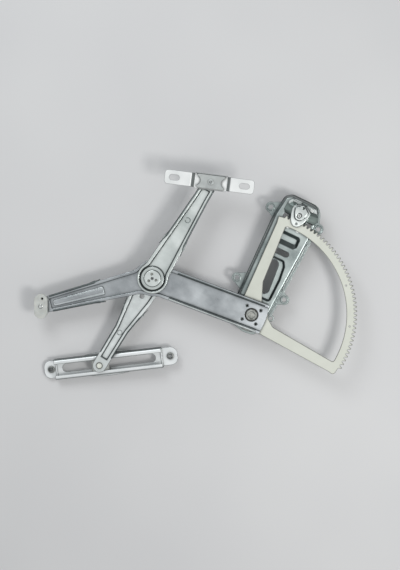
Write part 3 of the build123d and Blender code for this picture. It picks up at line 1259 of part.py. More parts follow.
# Cover that closes the drum and carries the crank spindle
with BuildPart() as drum_cover:
    with BuildSketch(level(SHAFT, 0, DRUM_FLOOR - DRUM_COVER)):
        Circle(DRUM_RADIUS)
    extrude(amount=DRUM_COVER)
    with BuildSketch(level(SHAFT, 0, DRUM_FLOOR - DRUM_COVER - COVER_COLLAR)):
        Circle(COVER_COLLAR_RADIUS)
    extrude(amount=COVER_COLLAR)
    fillet(drum_cover.edges().filter_by(GeomType.CIRCLE).group_by(Axis.Z)[0], HEAD_EDGE)
    with BuildSketch(level(SHAFT, 0, DRUM_FLOOR)):
        Circle(SPINDLE_RADIUS + RUNNING_FIT)
    extrude(amount=-DRUM_COVER - COVER_COLLAR, mode=Mode.SUBTRACT)
drum_cover.part.label = "drum_cover"
export_step(drum_cover.part, "parts/drum_cover.step")


# ---------------------------------------------------------------- drive: pinion, driver, spring, spindle

PINION_Z = 15.8
PINION_TOP = 19.5
PINION_HUB_RADIUS = 7.5
PINION_END_RISE = 0.8
PINION_CENTRE_HOLE = 1.3
DRIVER_TOP = 11.0
DRIVER_SHEET = 2.0
DRIVER_WALL = 1.8
DRIVER_SPAN = 250.0
PILOT_RADIUS = 3.2
SPINDLE_DISC = 2.0
SPINDLE_END = -30.0
SERRATION_TIP = 5.4
SERRATION_ROOT = 4.8
SERRATIONS = 24
SPINDLE_GROOVE = 1.5
SPRING_GAP = 0.3
SPRING_WIRE = 1.3
SPRING_TURNS = 4
SPRING_PITCH = 2.0

pinion_root, pinion_tip = tooth_radii(PINION_TEETH, PINION_SHIFT)
pinion_tooth = tooth_face(PINION_TEETH, PINION_SHIFT, MODULE)
spindle_disc_z = DRUM_FLOOR + FACE_GAP
spring_radius = drum_inner - SPRING_GAP - SPRING_WIRE / 2
driver_radius = spring_radius - SPRING_WIRE / 2 - SPRING_GAP

# Pinion with a hub into the drum and a journal in the bridge; one tooth points at the sector's pivot
with BuildPart() as pinion_gear:
    with BuildSketch(level(SHAFT, 270, PINION_Z)):
        Circle(pinion_root)
        with PolarLocations(0, PINION_TEETH):
            add(pinion_tooth)
    extrude(amount=PINION_TOP - PINION_Z)
    with BuildSketch(level(SHAFT, 0, DRIVER_TOP)):
        Circle(PINION_HUB_RADIUS)
    extrude(amount=PINION_Z - DRIVER_TOP)
    with BuildSketch(level(SHAFT, 0, PINION_TOP)):
        Circle(BRIDGE_JOURNAL_RADIUS)
    extrude(amount=BRIDGE_TOP + PINION_END_RISE - PINION_TOP)
    chamfer(pinion_gear.edges().filter_by(GeomType.CIRCLE).group_by(Axis.Z)[-1], PINION_END_RISE / 2)
    with BuildSketch(level(SHAFT, 0, BRIDGE_TOP + PINION_END_RISE)):
        Circle(PINION_CENTRE_HOLE)
    extrude(amount=-2 * PINION_END_RISE, mode=Mode.SUBTRACT)
pinion_gear.part.label = "pinion_gear"
export_step(pinion_gear.part, "parts/pinion_gear.step")

# Driver under the pinion: a disc with a part-round wall that opens the spring
with BuildPart() as output_driver:
    with BuildSketch(level(SHAFT, 0, DRIVER_TOP - DRIVER_SHEET)):
        Circle(driver_radius)
        Circle(PILOT_RADIUS + RUNNING_FIT, mode=Mode.SUBTRACT)
    extrude(amount=DRIVER_SHEET)
    wall_height = DRIVER_TOP - DRIVER_SHEET - spindle_disc_z - SPINDLE_DISC - FACE_GAP
    with BuildSketch(level(SHAFT, 0, DRIVER_TOP - DRIVER_SHEET - wall_height)):
        with BuildLine():
            outside = CenterArc((0, 0), driver_radius, 0, DRIVER_SPAN)
            inside = CenterArc((0, 0), driver_radius - DRIVER_WALL, 0, DRIVER_SPAN)
            Line(outside @ 0, inside @ 0)
            Line(outside @ 1, inside @ 1)
        make_face()
    extrude(amount=wall_height)
output_driver.part.label = "output_driver"
export_step(output_driver.part, "parts/output_driver.step")

# Spindle: a disc in the drum, a pilot into the driver, a journal in the cover and a serrated end
with BuildPart() as crank_spindle:
    with BuildSketch(level(SHAFT, 0, spindle_disc_z)):
        Circle(driver_radius)
    extrude(amount=SPINDLE_DISC)
    with BuildSketch(level(SHAFT, 0, spindle_disc_z + SPINDLE_DISC)):
        Circle(PILOT_RADIUS)
    extrude(amount=DRIVER_TOP - FACE_GAP - spindle_disc_z - SPINDLE_DISC)
    cover_under = DRUM_FLOOR - DRUM_COVER - COVER_COLLAR
    with BuildSketch(level(SHAFT, 0, cover_under - SPINDLE_GROOVE)):
        Circle(SPINDLE_RADIUS)
    extrude(amount=spindle_disc_z - cover_under + SPINDLE_GROOVE)
    with BuildSketch(level(SHAFT, 0, SPINDLE_END)):
        Circle(SERRATION_ROOT)
        with PolarLocations(SERRATION_ROOT, SERRATIONS):
            with Locations(((SERRATION_TIP - SERRATION_ROOT) / 2 - SERRATION_ROOT / SERRATIONS, 0)):
                Rectangle(SERRATION_TIP - SERRATION_ROOT, SERRATION_ROOT * pi / SERRATIONS)
    extrude(amount=cover_under - SPINDLE_GROOVE - SPINDLE_END)
crank_spindle.part.label = "crank_spindle"
export_step(crank_spindle.part, "parts/crank_spindle.step")

# Coil spring that grips the drum and holds the glass where it is left
with BuildPart() as brake_spring:
    with BuildLine():
        coil = Helix(SPRING_PITCH, SPRING_PITCH * SPRING_TURNS, spring_radius,
                     center=(SHAFT[0], SHAFT[1], 0))
    with BuildSketch(Plane(origin=coil @ 0, z_dir=coil % 0, x_dir=(0, 0, 1))):
        Rectangle(SPRING_WIRE, SPRING_WIRE)
    sweep(path=coil, is_frenet=True)
brake_spring.part.label = "brake_spring"
export_step(brake_spring.part, "parts/brake_spring.step")
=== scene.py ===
import math

import bmesh
import bpy
from mathutils import Matrix, Vector
from mathutils.bvhtree import BVHTree


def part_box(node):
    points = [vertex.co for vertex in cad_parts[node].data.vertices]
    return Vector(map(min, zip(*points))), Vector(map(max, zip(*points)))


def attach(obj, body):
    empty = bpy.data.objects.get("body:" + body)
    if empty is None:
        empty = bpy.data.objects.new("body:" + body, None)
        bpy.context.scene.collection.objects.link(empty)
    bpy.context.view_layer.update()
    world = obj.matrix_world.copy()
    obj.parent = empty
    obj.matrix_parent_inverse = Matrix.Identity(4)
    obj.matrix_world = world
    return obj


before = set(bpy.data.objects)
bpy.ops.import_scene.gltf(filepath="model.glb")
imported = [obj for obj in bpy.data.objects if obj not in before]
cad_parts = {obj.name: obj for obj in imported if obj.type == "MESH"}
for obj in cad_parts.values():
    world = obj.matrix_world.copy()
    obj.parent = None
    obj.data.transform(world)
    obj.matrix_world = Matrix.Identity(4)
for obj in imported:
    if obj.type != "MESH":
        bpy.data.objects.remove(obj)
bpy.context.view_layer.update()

# Looks of a cross-arm window regulator: materials, small details, floor, light and camera.
# Everything is in metres in the row frame: +Z towards the glass, +Y from the sector pivot to the pinion.

MM = 0.001
SHADER_SAMPLES = 8
RELIEF_SAMPLES = 6


# ---------------------------------------------------------------- material helpers

def new_material(name):
    """An empty node material with a Principled shader, its node tree and the shader."""
    material = bpy.data.materials.new(name)
    material.use_nodes = True
    tree = material.node_tree
    shader = tree.nodes["Principled BSDF"]
    return material, tree, shader


def coordinates(tree, stretch=(1, 1, 1), turn=0.0):
    """Object coordinates in metres, stretched and then turned about Z.

    The turn changes what a noise gives, but a stretch along X, Y or Z keeps its lines there."""
    source = tree.nodes.new("ShaderNodeTexCoord")
    mapping = tree.nodes.new("ShaderNodeMapping")
    mapping.inputs["Scale"].default_value = stretch
    mapping.inputs["Rotation"].default_value = (0, 0, turn)
    tree.links.new(source.outputs["Object"], mapping.inputs["Vector"])
    return mapping.outputs["Vector"]


def noise(tree, vector, scale, detail=3.0, rough=0.5):
    """Noise with a scale in cells per metre."""
    node = tree.nodes.new("ShaderNodeTexNoise")
    node.inputs["Scale"].default_value = scale
    node.inputs["Detail"].default_value = detail
    node.inputs["Roughness"].default_value = rough
    tree.links.new(vector, node.inputs["Vector"])
    return node.outputs["Fac"]


def spangle(tree, vector, scale):
    """One random shade for each crystal of a zinc coat."""
    node = tree.nodes.new("ShaderNodeTexVoronoi")
    node.inputs["Scale"].default_value = scale
    tree.links.new(vector, node.inputs["Vector"])
    split = tree.nodes.new("ShaderNodeSeparateColor")
    tree.links.new(node.outputs["Color"], split.inputs["Color"])
    return split.outputs["Red"]


def spread(tree, value, low, high, out_low, out_high):
    """A value mapped from one range to another and kept inside it."""
    node = tree.nodes.new("ShaderNodeMapRange")
    node.inputs["From Min"].default_value = low
    node.inputs["From Max"].default_value = high
    node.inputs["To Min"].default_value = out_low
    node.inputs["To Max"].default_value = out_high
    tree.links.new(value, node.inputs["Value"])
    return node.outputs["Result"]


def blend(tree, factor, first, second):
    """Two colours, or a colour and a socket, mixed by a factor."""
    node = tree.nodes.new("ShaderNodeMix")
    node.data_type = "RGBA"
    tree.links.new(factor, node.inputs["Factor"])
    for value, place in ((first, node.inputs["A"]), (second, node.inputs["B"])):
        if isinstance(value, tuple):
            place.default_value = (*value, 1.0)
        else:
            tree.links.new(value, place)
    return node.outputs["Result"]


def level_part(tree, edge):
    """1 on level faces, 0 on walls and on edges that are rounded by a radius."""
    rounded = tree.nodes.new("ShaderNodeBevel")
    rounded.inputs["Radius"].default_value = edge
    rounded.samples = SHADER_SAMPLES
    split = tree.nodes.new("ShaderNodeSeparateXYZ")
    tree.links.new(rounded.outputs["Normal"], split.inputs["Vector"])
    size = tree.nodes.new("ShaderNodeMath")
    size.operation = "ABSOLUTE"
    tree.links.new(split.outputs["Z"], size.inputs[0])
    return spread(tree, size.outputs["Value"], 0.6, 0.97, 0, 1)


def crevice(tree, distance):
    """1 on open surfaces, falling to 0 in corners and gaps narrower than a distance."""
    node = tree.nodes.new("ShaderNodeAmbientOcclusion")
    node.inputs["Distance"].default_value = distance
    node.samples = SHADER_SAMPLES
    return node.outputs["AO"]


def inner_part(tree, distance):
    """1 inside a face, falling to 0 along its outer edges within a distance."""
    node = tree.nodes.new("ShaderNodeAmbientOcclusion")
    node.inputs["Distance"].default_value = distance
    node.inside = True
    node.only_local = True
    node.samples = SHADER_SAMPLES
    return node.outputs["AO"]


def relief(tree, shader, height, strength, depth, edge):
    """Surface relief over edges that are rounded by a radius."""
    rounded = tree.nodes.new("ShaderNodeBevel")
    rounded.inputs["Radius"].default_value = edge
    rounded.samples = RELIEF_SAMPLES
    bump = tree.nodes.new("ShaderNodeBump")
    bump.inputs["Strength"].default_value = strength
    bump.inputs["Distance"].default_value = depth
    tree.links.new(height, bump.inputs["Height"])
    tree.links.new(rounded.outputs["Normal"], bump.inputs["Normal"])
    tree.links.new(bump.outputs["Normal"], shader.inputs["Normal"])


# Painted shade in the corners of sheets, turned parts and mouldings, and how wide such a corner is
PAINTED_SHEET_SHADE = (0.035, 0.042, 0.042)
PAINTED_TURNED_SHADE = (0.03, 0.033, 0.033)
PAINTED_MOULDED_SHADE = (0.12, 0.12, 0.11)
SHEET_CORNER = 4.5 * MM
SMALL_CORNER = 1.5 * MM

# How fine the patterns are, in cells per metre, and the lines of rolling and turning along each axis
CRYSTAL_CELLS = 260
STAIN_CELLS = 28
ZINC_GRAIN_CELLS = 1900
PATCH_CELLS = 160
FLOW_CELLS = 90
MOULDED_GRAIN_CELLS = 2600
ROLLED_LINES = (40, 900, 40)
TURNED_LINES = (1500, 120, 400)
TURNED_ANGLE = 0.7

# How far red, green and blue light goes into a moulding
LIGHT_REACH = (1.5 * MM, 1.2 * MM, 1.0 * MM)


def zinc_sheet(name, light, dark, wall, metallic, smooth, rough, turn, band=1.3 * MM, border=1.1 * MM):
    """Zinc-plated pressed steel: spangle, rolling lines, soft stains, walls darkened as painted shade and
    painted shade in the corners.

    A band along bent edges and a border along cut edges get the same painted shade as the walls."""
    material, tree, shader = new_material(name)
    plain = coordinates(tree)
    rolled = coordinates(tree, ROLLED_LINES, turn)
    crystals = spangle(tree, plain, CRYSTAL_CELLS)
    clouds = noise(tree, plain, STAIN_CELLS, detail=4)
    lines = noise(tree, rolled, 1, detail=3, rough=0.6)
    fine = noise(tree, plain, ZINC_GRAIN_CELLS, detail=2)
    shade = spread(tree, clouds, 0.35, 0.68, 0, 1)
    body = blend(tree, shade, dark, light)
    body = blend(tree, spread(tree, crystals, 0, 1, 0, 0.22), body, light)
    body = blend(tree, spread(tree, lines, 0.3, 0.75, 0.0, 0.3), body, dark)
    # Painted shade: walls, rounded edges and cut edges darker, standing for the dim room they reflect
    body = blend(tree, level_part(tree, band), wall, body)
    body = blend(tree, spread(tree, inner_part(tree, border), 0.45, 0.9, 0.2, 1), wall, body)
    # Painted shade: darker in corners and narrow gaps
    unshaded_share = spread(tree, crevice(tree, SHEET_CORNER), 0.3, 0.95, 0, 1)
    tree.links.new(blend(tree, unshaded_share, PAINTED_SHEET_SHADE, body), shader.inputs["Base Color"])
    shader.inputs["Metallic"].default_value = metallic
    tree.links.new(spread(tree, clouds, 0.3, 0.7, smooth, rough), shader.inputs["Roughness"])
    relief(tree, shader, fine, strength=0.16, depth=0.05 * MM, edge=1.1 * MM)
    return material


def turned_steel(name, light, dark, metallic, smooth, rough):
    """Bright turned or cold-headed steel with fine scratches and a few dull patches."""
    material, tree, shader = new_material(name)
    plain = coordinates(tree)
    patches = noise(tree, plain, PATCH_CELLS, detail=4)
    scratches = noise(tree, coordinates(tree, TURNED_LINES, TURNED_ANGLE), 1, detail=3, rough=0.7)
    body = blend(tree, spread(tree, patches, 0.35, 0.65, 0, 1), light, dark)
    # Painted shade: darker in corners and narrow gaps
    unshaded_share = spread(tree, crevice(tree, SMALL_CORNER), 0.2, 0.8, 0, 1)
    tree.links.new(blend(tree, unshaded_share, PAINTED_TURNED_SHADE, body), shader.inputs["Base Color"])
    shader.inputs["Metallic"].default_value = metallic
    tree.links.new(spread(tree, scratches, 0.3, 0.7, smooth, rough), shader.inputs["Roughness"])
    relief(tree, shader, scratches, strength=0.2, depth=0.04 * MM, edge=0.3 * MM)
    return material


def moulded(name, light, dark, subsurface, smooth, rough):
    """Moulded plastic: faint flow clouds, a fine matt texture and painted shade in the corners."""
    material, tree, shader = new_material(name)
    plain = coordinates(tree)
    clouds = noise(tree, plain, FLOW_CELLS, detail=3)
    grain = noise(tree, plain, MOULDED_GRAIN_CELLS, detail=2)
    body = blend(tree, spread(tree, clouds, 0.35, 0.65, 0, 1), dark, light)
    # Painted shade: darker in corners and narrow gaps
    unshaded_share = spread(tree, crevice(tree, SMALL_CORNER), 0.2, 0.8, 0, 1)
    tree.links.new(blend(tree, unshaded_share, PAINTED_MOULDED_SHADE, body), shader.inputs["Base Color"])
    shader.inputs["Subsurface Weight"].default_value = subsurface
    shader.inputs["Subsurface Radius"].default_value = LIGHT_REACH
    tree.links.new(spread(tree, grain, 0.3, 0.7, smooth, rough), shader.inputs["Roughness"])
    relief(tree, shader, grain, strength=0.25, depth=0.04 * MM, edge=0.4 * MM)
    return material


# ---------------------------------------------------------------- materials of the frame's nodes

# Turns of the noise in the sheets, in radians. They vary the rolling lines,
# and the lines still run along X in every sheet.
BASE_TURN = 1.57
ARM_TURN = math.radians(5)
UPPER_TURN = math.radians(-84)
LOWER_TURN = math.radians(96)
RAIL_TURN = math.radians(-32)
BRACKET_TURN = math.radians(-18)
BRIDGE_TURN = 0.4
HUB_TURN = 0.9
SECTOR_TURN = 1.1

# The painted shade of walls and edges, and the painted dark bands of the larger sheets and of the sector
PAINTED_WALL_SHADE = (0.11, 0.13, 0.13)
SECTOR_PAINTED_WALL_SHADE = (0.05, 0.05, 0.042)
BROAD = 2.0 * MM
SECTOR_BAND = 1.6 * MM
SECTOR_BORDER = 1.7 * MM

# A sheet has a light and a dark shade, the painted shade of its walls, how metallic it is, its least and
# most roughness and its turn. Turned and moulded parts have the same without the wall and the turn, and a
# moulded one says how much light goes into it in place of how metallic it is.
base_zinc = zinc_sheet(
    "base_zinc", (0.47, 0.52, 0.505), (0.28, 0.325, 0.32), PAINTED_WALL_SHADE, 1.0, 0.24, 0.38, BASE_TURN, BROAD
)
arm_zinc = zinc_sheet(
    "arm_zinc", (0.56, 0.59, 0.605), (0.36, 0.385, 0.40), PAINTED_WALL_SHADE, 1.0, 0.26, 0.42, ARM_TURN, BROAD
)
upper_zinc = zinc_sheet(
    "upper_zinc", (0.76, 0.80, 0.78), (0.56, 0.61, 0.59), PAINTED_WALL_SHADE, 1.0, 0.26, 0.42, UPPER_TURN, BROAD
)
lower_zinc = zinc_sheet(
    "lower_zinc", (0.94, 0.98, 0.97), (0.64, 0.68, 0.67), PAINTED_WALL_SHADE, 0.9, 0.24, 0.40, LOWER_TURN, BROAD
)
rail_zinc = zinc_sheet(
    "rail_zinc", (0.88, 0.90, 0.90), (0.74, 0.77, 0.77), PAINTED_WALL_SHADE, 0.5, 0.28, 0.44, RAIL_TURN, BROAD
)
bracket_zinc = zinc_sheet(
    "bracket_zinc", (0.90, 0.91, 0.90), (0.78, 0.80, 0.79), PAINTED_WALL_SHADE, 0.4, 0.26, 0.40, BRACKET_TURN
)
# Dark zinc for the arms' rolled edges: painted shade
edge_painted_shade = zinc_sheet("edge_painted_shade", (0.15, 0.17, 0.17), (0.09, 0.105, 0.105), PAINTED_WALL_SHADE, 1.0, 0.3, 0.45, ARM_TURN)
# Dark zinc for the bridge's skirts: painted shade
skirt_painted_shade = zinc_sheet(
    "skirt_painted_shade", (0.26, 0.31, 0.29), (0.13, 0.16, 0.15), PAINTED_WALL_SHADE, 1.0, 0.2, 0.4, BRIDGE_TURN
)
# Lighter zinc for the lift half's raised panel: a painted highlight
lift_highlight_zinc = zinc_sheet("lift_highlight_zinc", (0.72, 0.76, 0.77), (0.50, 0.54, 0.55), PAINTED_WALL_SHADE, 1.0, 0.22, 0.36, ARM_TURN)
bridge_zinc = zinc_sheet(
    "bridge_zinc", (0.84, 0.88, 0.86), (0.46, 0.50, 0.49), PAINTED_WALL_SHADE, 1.0, 0.2, 0.36, BRIDGE_TURN, BROAD
)
hub_zinc = zinc_sheet("hub_zinc", (0.82, 0.86, 0.84), (0.68, 0.73, 0.71), PAINTED_WALL_SHADE, 1.0, 0.28, 0.42, HUB_TURN)
sector_zinc = zinc_sheet(
    "sector_zinc", (0.64, 0.655, 0.59), (0.56, 0.575, 0.51), SECTOR_PAINTED_WALL_SHADE, 0.1, 0.5, 0.62, SECTOR_TURN,
    SECTOR_BAND, SECTOR_BORDER,
)
bright_steel = turned_steel("bright_steel", (0.84, 0.86, 0.84), (0.62, 0.65, 0.63), 1.0, 0.16, 0.34)
stud_steel = turned_steel("stud_steel", (0.40, 0.41, 0.38), (0.17, 0.175, 0.16), 1.0, 0.3, 0.5)
dull_steel = turned_steel("dull_steel", (0.50, 0.53, 0.52), (0.36, 0.38, 0.375), 0.5, 0.35, 0.5)
cream_steel = turned_steel("cream_steel", (0.84, 0.85, 0.79), (0.68, 0.70, 0.62), 0.4, 0.3, 0.45)
dark_steel = turned_steel("dark_steel", (0.22, 0.235, 0.235), (0.10, 0.11, 0.11), 1.0, 0.3, 0.5)
bronze = turned_steel("bronze", (0.10, 0.085, 0.06), (0.05, 0.042, 0.03), 0.8, 0.35, 0.5)
nylon = moulded("nylon", (0.56, 0.575, 0.545), (0.46, 0.475, 0.45), 0.15, 0.38, 0.52)
grey_acetal = moulded("grey_acetal", (0.46, 0.485, 0.475), (0.37, 0.39, 0.385), 0.05, 0.36, 0.5)

node_materials = {
    base_zinc: ("base_plate", "brake_drum", "drum_cover"),
    arm_zinc: ("main_arm",),
    upper_zinc: ("upper_cross_arm",),
    lower_zinc: ("lower_cross_arm",),
    rail_zinc: ("guide_rail",),
    bracket_zinc: ("glass_bracket",),
    bridge_zinc: ("pinion_bridge",),
    hub_zinc: ("cross_hub", "hub_cap"),
    sector_zinc: ("sector_gear",),
    bright_steel: ("bridge_rivets", "drum_rivets", "lift_pin", "crank_spindle", "pinion_gear"),
    stud_steel: ("sector_pivot_stud", "rail_nuts", "hub_rivets"),
    dull_steel: ("bracket_pin",),
    cream_steel: ("guide_pin",),
    dark_steel: ("output_driver", "brake_spring", "arm_rivets"),
    bronze: ("pivot_bush",),
    nylon: ("lift_slider", "guide_slider", "pivot_washer"),
    grey_acetal: ("bracket_insert",),
}
for material, names in node_materials.items():
    for node_name in names:
        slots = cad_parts[node_name].data.materials
        slots.clear()
        slots.append(material)


# ---------------------------------------------------------------- small pieces

ROUND_STEPS = 3
SLIM_SHARE = 0.35
RING_STEPS = 40


def hand_in(piece, material, body):
    """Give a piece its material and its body."""
    piece.data.materials.append(material)
    bpy.context.scene.collection.objects.link(piece)
    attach(piece, body)


def bead(name, points, radius, closed=False, slim=()):
    """A round bead along points in metres, drawn out thin at the points whose numbers are in slim."""
    data = bpy.data.curves.new(name, "CURVE")
    data.dimensions = "3D"
    data.bevel_depth = radius
    data.bevel_resolution = ROUND_STEPS
    data.use_fill_caps = not closed
    line = data.splines.new("POLY")
    line.points.add(len(points) - 1)
    for knot, point in zip(line.points, points):
        knot.co = (*point, 1)
    for index in slim:
        line.points[index].radius = SLIM_SHARE
    line.use_cyclic_u = closed
    return bpy.data.objects.new(name, data)


def middle(node):
    """The middle of a node's box in metres."""
    low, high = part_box(node)
    return (Vector(low) + Vector(high)) / 2


def ring(name, centre, height, radius, roll):
    """A round bead in a circle, with its middle at a height."""
    turns = [math.tau * step / RING_STEPS for step in range(RING_STEPS)]
    points = [(centre.x + radius * math.cos(a), centre.y + radius * math.sin(a), height) for a in turns]
    return bead(name, points, roll, closed=True)


def pad(name, outline, low, high, bevel):
    """A flat pad over an outline of points in metres, with its upper edge bevelled."""
    mesh = bpy.data.meshes.new(name)
    shape = bmesh.new()
    floor_ring = [shape.verts.new((x, y, low)) for x, y in outline]
    face = shape.faces.new(floor_ring)
    grown = bmesh.ops.extrude_face_region(shape, geom=[face])
    raised = [item for item in grown["geom"] if isinstance(item, bmesh.types.BMVert)]
    bmesh.ops.translate(shape, verts=raised, vec=(0, 0, high - low))
    bmesh.ops.recalc_face_normals(shape, faces=shape.faces)
    rim = [edge for edge in shape.edges if all(vert in raised for vert in edge.verts)]
    bmesh.ops.bevel(shape, geom=rim, offset=bevel, segments=ROUND_STEPS, affect="EDGES", profile=0.5)
    shape.to_mesh(mesh)
    shape.free()
    return bpy.data.objects.new(name, mesh)


def beside(start, end, station, offset, height):
    """The point at a station from start towards end, moved left by an offset, both in mm."""
    way = (end - start).xy.normalized()
    side = Vector((-way.y, way.x))
    spot = start.xy + way * station * MM + side * offset * MM
    return (spot.x, spot.y, height)


pivot = middle("sector_pivot_stud")
cross = middle("hub_cap")
lift_end = middle("lift_pin")
glass_end = middle("bracket_pin")
guide_end = middle("guide_pin")

# The turned-down edges of the arms: rolled over, with a flared tip at the hub end, and dark with painted
# shade where the roll reflects the dim room.
# Each has its roll's radius and how far it is sunk, then its stations from the hub and their offsets, in mm.
EDGE_RUNS = {
    "lift": (
        lift_end, "main_arm", "lift_arm", 1.7, 0.9,
        ((77, 17.2), (88, 14.6), (158, 11.2)),
    ),
    "upper": (
        glass_end, "upper_cross_arm", "cross_arm", 1.2, 0.5,
        ((50, 18.6), (66, 14.9), (140, 10.5), (158, 10.2)),
    ),
    "lower": (
        guide_end, "lower_cross_arm", "cross_arm", 1.2, 0.8,
        ((46, 18.4), (64, 13.8), (91, 10.0), (138, 9.4)),
    ),
}
for limb, (end, node, body, roll, sink, run) in EDGE_RUNS.items():
    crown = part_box(node)[1][2] - sink * MM
    for side, word in ((1, "left"), (-1, "right")):
        points = [beside(cross, end, station, side * offset, crown) for station, offset in run]
        edge = bead(f"{limb}_edge_{word}", points, roll * MM, slim=(0,))
        hand_in(edge, edge_painted_shade, body)

# The main arm's rim between the pivots: a roll dark with painted shade along each side, and outside the far
# side's one a bright roll as a painted highlight.
# Each has its offset from the arm's middle line, its roll's radius and how far it is sunk, in mm.
MAIN_EDGE_STATIONS = (-14, 124)
main_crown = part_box("main_arm")[1][2]
for word, offset, roll, sink, material in (
    ("near", -19.9, 1.9, 1.5, edge_painted_shade),
    ("far", 18.9, 1.4, 1.0, edge_painted_shade),
    ("bright", 21.0, 1.2, 0.8, hub_zinc),
):
    level = main_crown - sink * MM
    points = [beside(pivot, cross, station, offset, level) for station in MAIN_EDGE_STATIONS]
    hand_in(bead(f"main_edge_{word}", points, roll * MM), material, "lift_arm")

# The raised panel of the lift half, wider towards the hub, in a lighter zinc as a painted highlight:
# stations from the hub and offsets, in mm
PANEL_OUTLINE = (
    (77, -6.0), (75.5, -4.8), (75.5, 5.4), (77, 6.6),
    (153, 5.2), (155, 3.6), (155, -2.2), (153, -3.8),
)
PANEL_LOW = main_crown - 2.9 * MM
PANEL_HIGH = main_crown - 1.3 * MM
PANEL_BEVEL = 0.7 * MM
panel = [beside(cross, lift_end, station, offset, 0)[:2] for station, offset in PANEL_OUTLINE]
panel_pad = pad("lift_panel", panel, PANEL_LOW, PANEL_HIGH, PANEL_BEVEL)
hand_in(panel_pad, lift_highlight_zinc, "lift_arm")

# The walls of the base have a pressed bead below half way up, found by rays from beyond the plate; its light
# zinc is a painted highlight.
# Each wall has the plate's end in X, the way of its rays and the bead's two ends along Y, in mm.
BEAD_LEVEL = 6 * MM
WALL_BEAD_RADIUS = 0.9 * MM
WALL_BEAD_STEPS = 8
BEYOND = 5 * MM
plate_low, plate_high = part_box("base_plate")
plate = BVHTree.FromObject(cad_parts["base_plate"], bpy.context.evaluated_depsgraph_get())
for word, start, way, first, last in (
    ("left", plate_low[0], 1, -66, 50),
    ("right", plate_high[0], -1, -50, 32),
):
    points = []
    for step in range(WALL_BEAD_STEPS + 1):
        y = (first + (last - first) * step / WALL_BEAD_STEPS) * MM
        source = Vector((start - way * BEYOND, y, BEAD_LEVEL))
        points.append(tuple(plate.ray_cast(source, Vector((way, 0, 0)))[0]))
    wall_bead = bead(f"wall_bead_{word}", points, WALL_BEAD_RADIUS, slim=(0, -1))
    hand_in(wall_bead, hub_zinc, "base")

# The bridge's sides slope down to the base plate as skirts, dark with painted shade; a foot spreads out
# under its rivet.
# Places are in millimetres from the pinion's axis: a skirt's foot, then its crest.
pinion = middle("pinion_gear")
plate_top = plate_high[2]
SKIRTS = {
    "near": (((-19, 17), (-24.5, 10), (-25, 0), (-21.5, -4.6), (-17, -5.2)),
             ((-10, 15.5), (-12.2, 9), (-11.8, 2), (-11.2, -2), (-10.6, -4))),
    "far": (((23, 13), (27, 8), (28, 2), (26.5, -3), (22, -4.5)),
            ((12.5, 11), (13.2, 7), (13.4, 2), (13, -1.5), (12.4, -3.8))),
}
SKIRT_RISE = 6.3 * MM
SKIRT_SHEET = 1.2 * MM
SKIRT_ROUNDING = 0.5 * MM
for side, (foot_line, crest_line) in SKIRTS.items():
    mesh = bpy.data.meshes.new(f"bridge_skirt_{side}")
    corners = [(pinion.x + x * MM, pinion.y + y * MM, plate_top) for x, y in foot_line]
    corners += [(pinion.x + x * MM, pinion.y + y * MM, plate_top + SKIRT_RISE) for x, y in crest_line]
    count = len(foot_line)
    mesh.from_pydata(corners, [], [(k, k + 1, k + 1 + count, k + count) for k in range(count - 1)])
    skirt = bpy.data.objects.new(f"bridge_skirt_{side}", mesh)
    skirt.modifiers.new("thickness", "SOLIDIFY").thickness = SKIRT_SHEET
    rounding = skirt.modifiers.new("rounding", "BEVEL")
    rounding.width = SKIRT_ROUNDING
    rounding.segments = ROUND_STEPS
    hand_in(skirt, skirt_painted_shade, "base")

FOOT_OUTLINE = (
    (-21.5, 13.5), (-18.5, 17.5), (-15.5, 20.5), (-5.5, 20.5),
    (-2.5, 19), (-6.5, 16.5), (-12, 13), (-17, 11),
)
FOOT_SHEET = 1.3 * MM
FOOT_BEVEL = 0.5 * MM
foot = [(pinion.x + x * MM, pinion.y + y * MM) for x, y in FOOT_OUTLINE]
foot_pad = pad("bridge_foot", foot, plate_top, plate_top + FOOT_SHEET, FOOT_BEVEL)
hand_in(foot_pad, bridge_zinc, "base")

# Swaged rings on the heads of the pins, and the threads' mouths in the rail's nuts, in dark steel as painted
# shade in their grooves, gaps and holes.
# The two numbers are the ring's radius and its roll's, in mm.
RING_SINK = 0.2 * MM
nut_low, nut_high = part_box("rail_nuts")
NUT_RADIUS = 5 * MM
near_nut = Vector((nut_low[0] + NUT_RADIUS, nut_low[1] + NUT_RADIUS, 0))
far_nut = Vector((nut_high[0] - NUT_RADIUS, nut_high[1] - NUT_RADIUS, 0))
for name, centre, top, radius, roll, body in (
    ("guide_pin_ring", guide_end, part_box("guide_pin")[1][2], 4.5, 0.7, "cross_arm"),
    ("stud_ring", pivot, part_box("sector_pivot_stud")[1][2], 5.2, 0.5, "base"),
    ("stud_rim", pivot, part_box("sector_pivot_stud")[1][2], 8.1, 0.6, "base"),
    ("lift_pin_ring", lift_end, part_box("lift_pin")[1][2], 2.6, 0.35, "lift_arm"),
    ("bracket_pin_ring", glass_end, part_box("bracket_pin")[1][2], 1.5, 0.6, "cross_arm"),
    ("near_nut_ring", near_nut, nut_high[2], 3.4, 0.8, "guide_rail"),
    ("far_nut_ring", far_nut, nut_high[2], 3.4, 0.8, "guide_rail"),
):
    head_ring = ring(name, centre, top - RING_SINK, radius * MM, roll * MM)
    hand_in(head_ring, dark_steel, body)


# ---------------------------------------------------------------- floor

FLOOR_SIZE = 8.0
floor_mesh = bpy.data.meshes.new("floor")
half = FLOOR_SIZE / 2
floor_corners = [(-half, -half, 0), (half, -half, 0), (half, half, 0), (-half, half, 0)]
floor_mesh.from_pydata(floor_corners, [], [(0, 1, 2, 3)])
floor = bpy.data.objects.new("floor", floor_mesh)
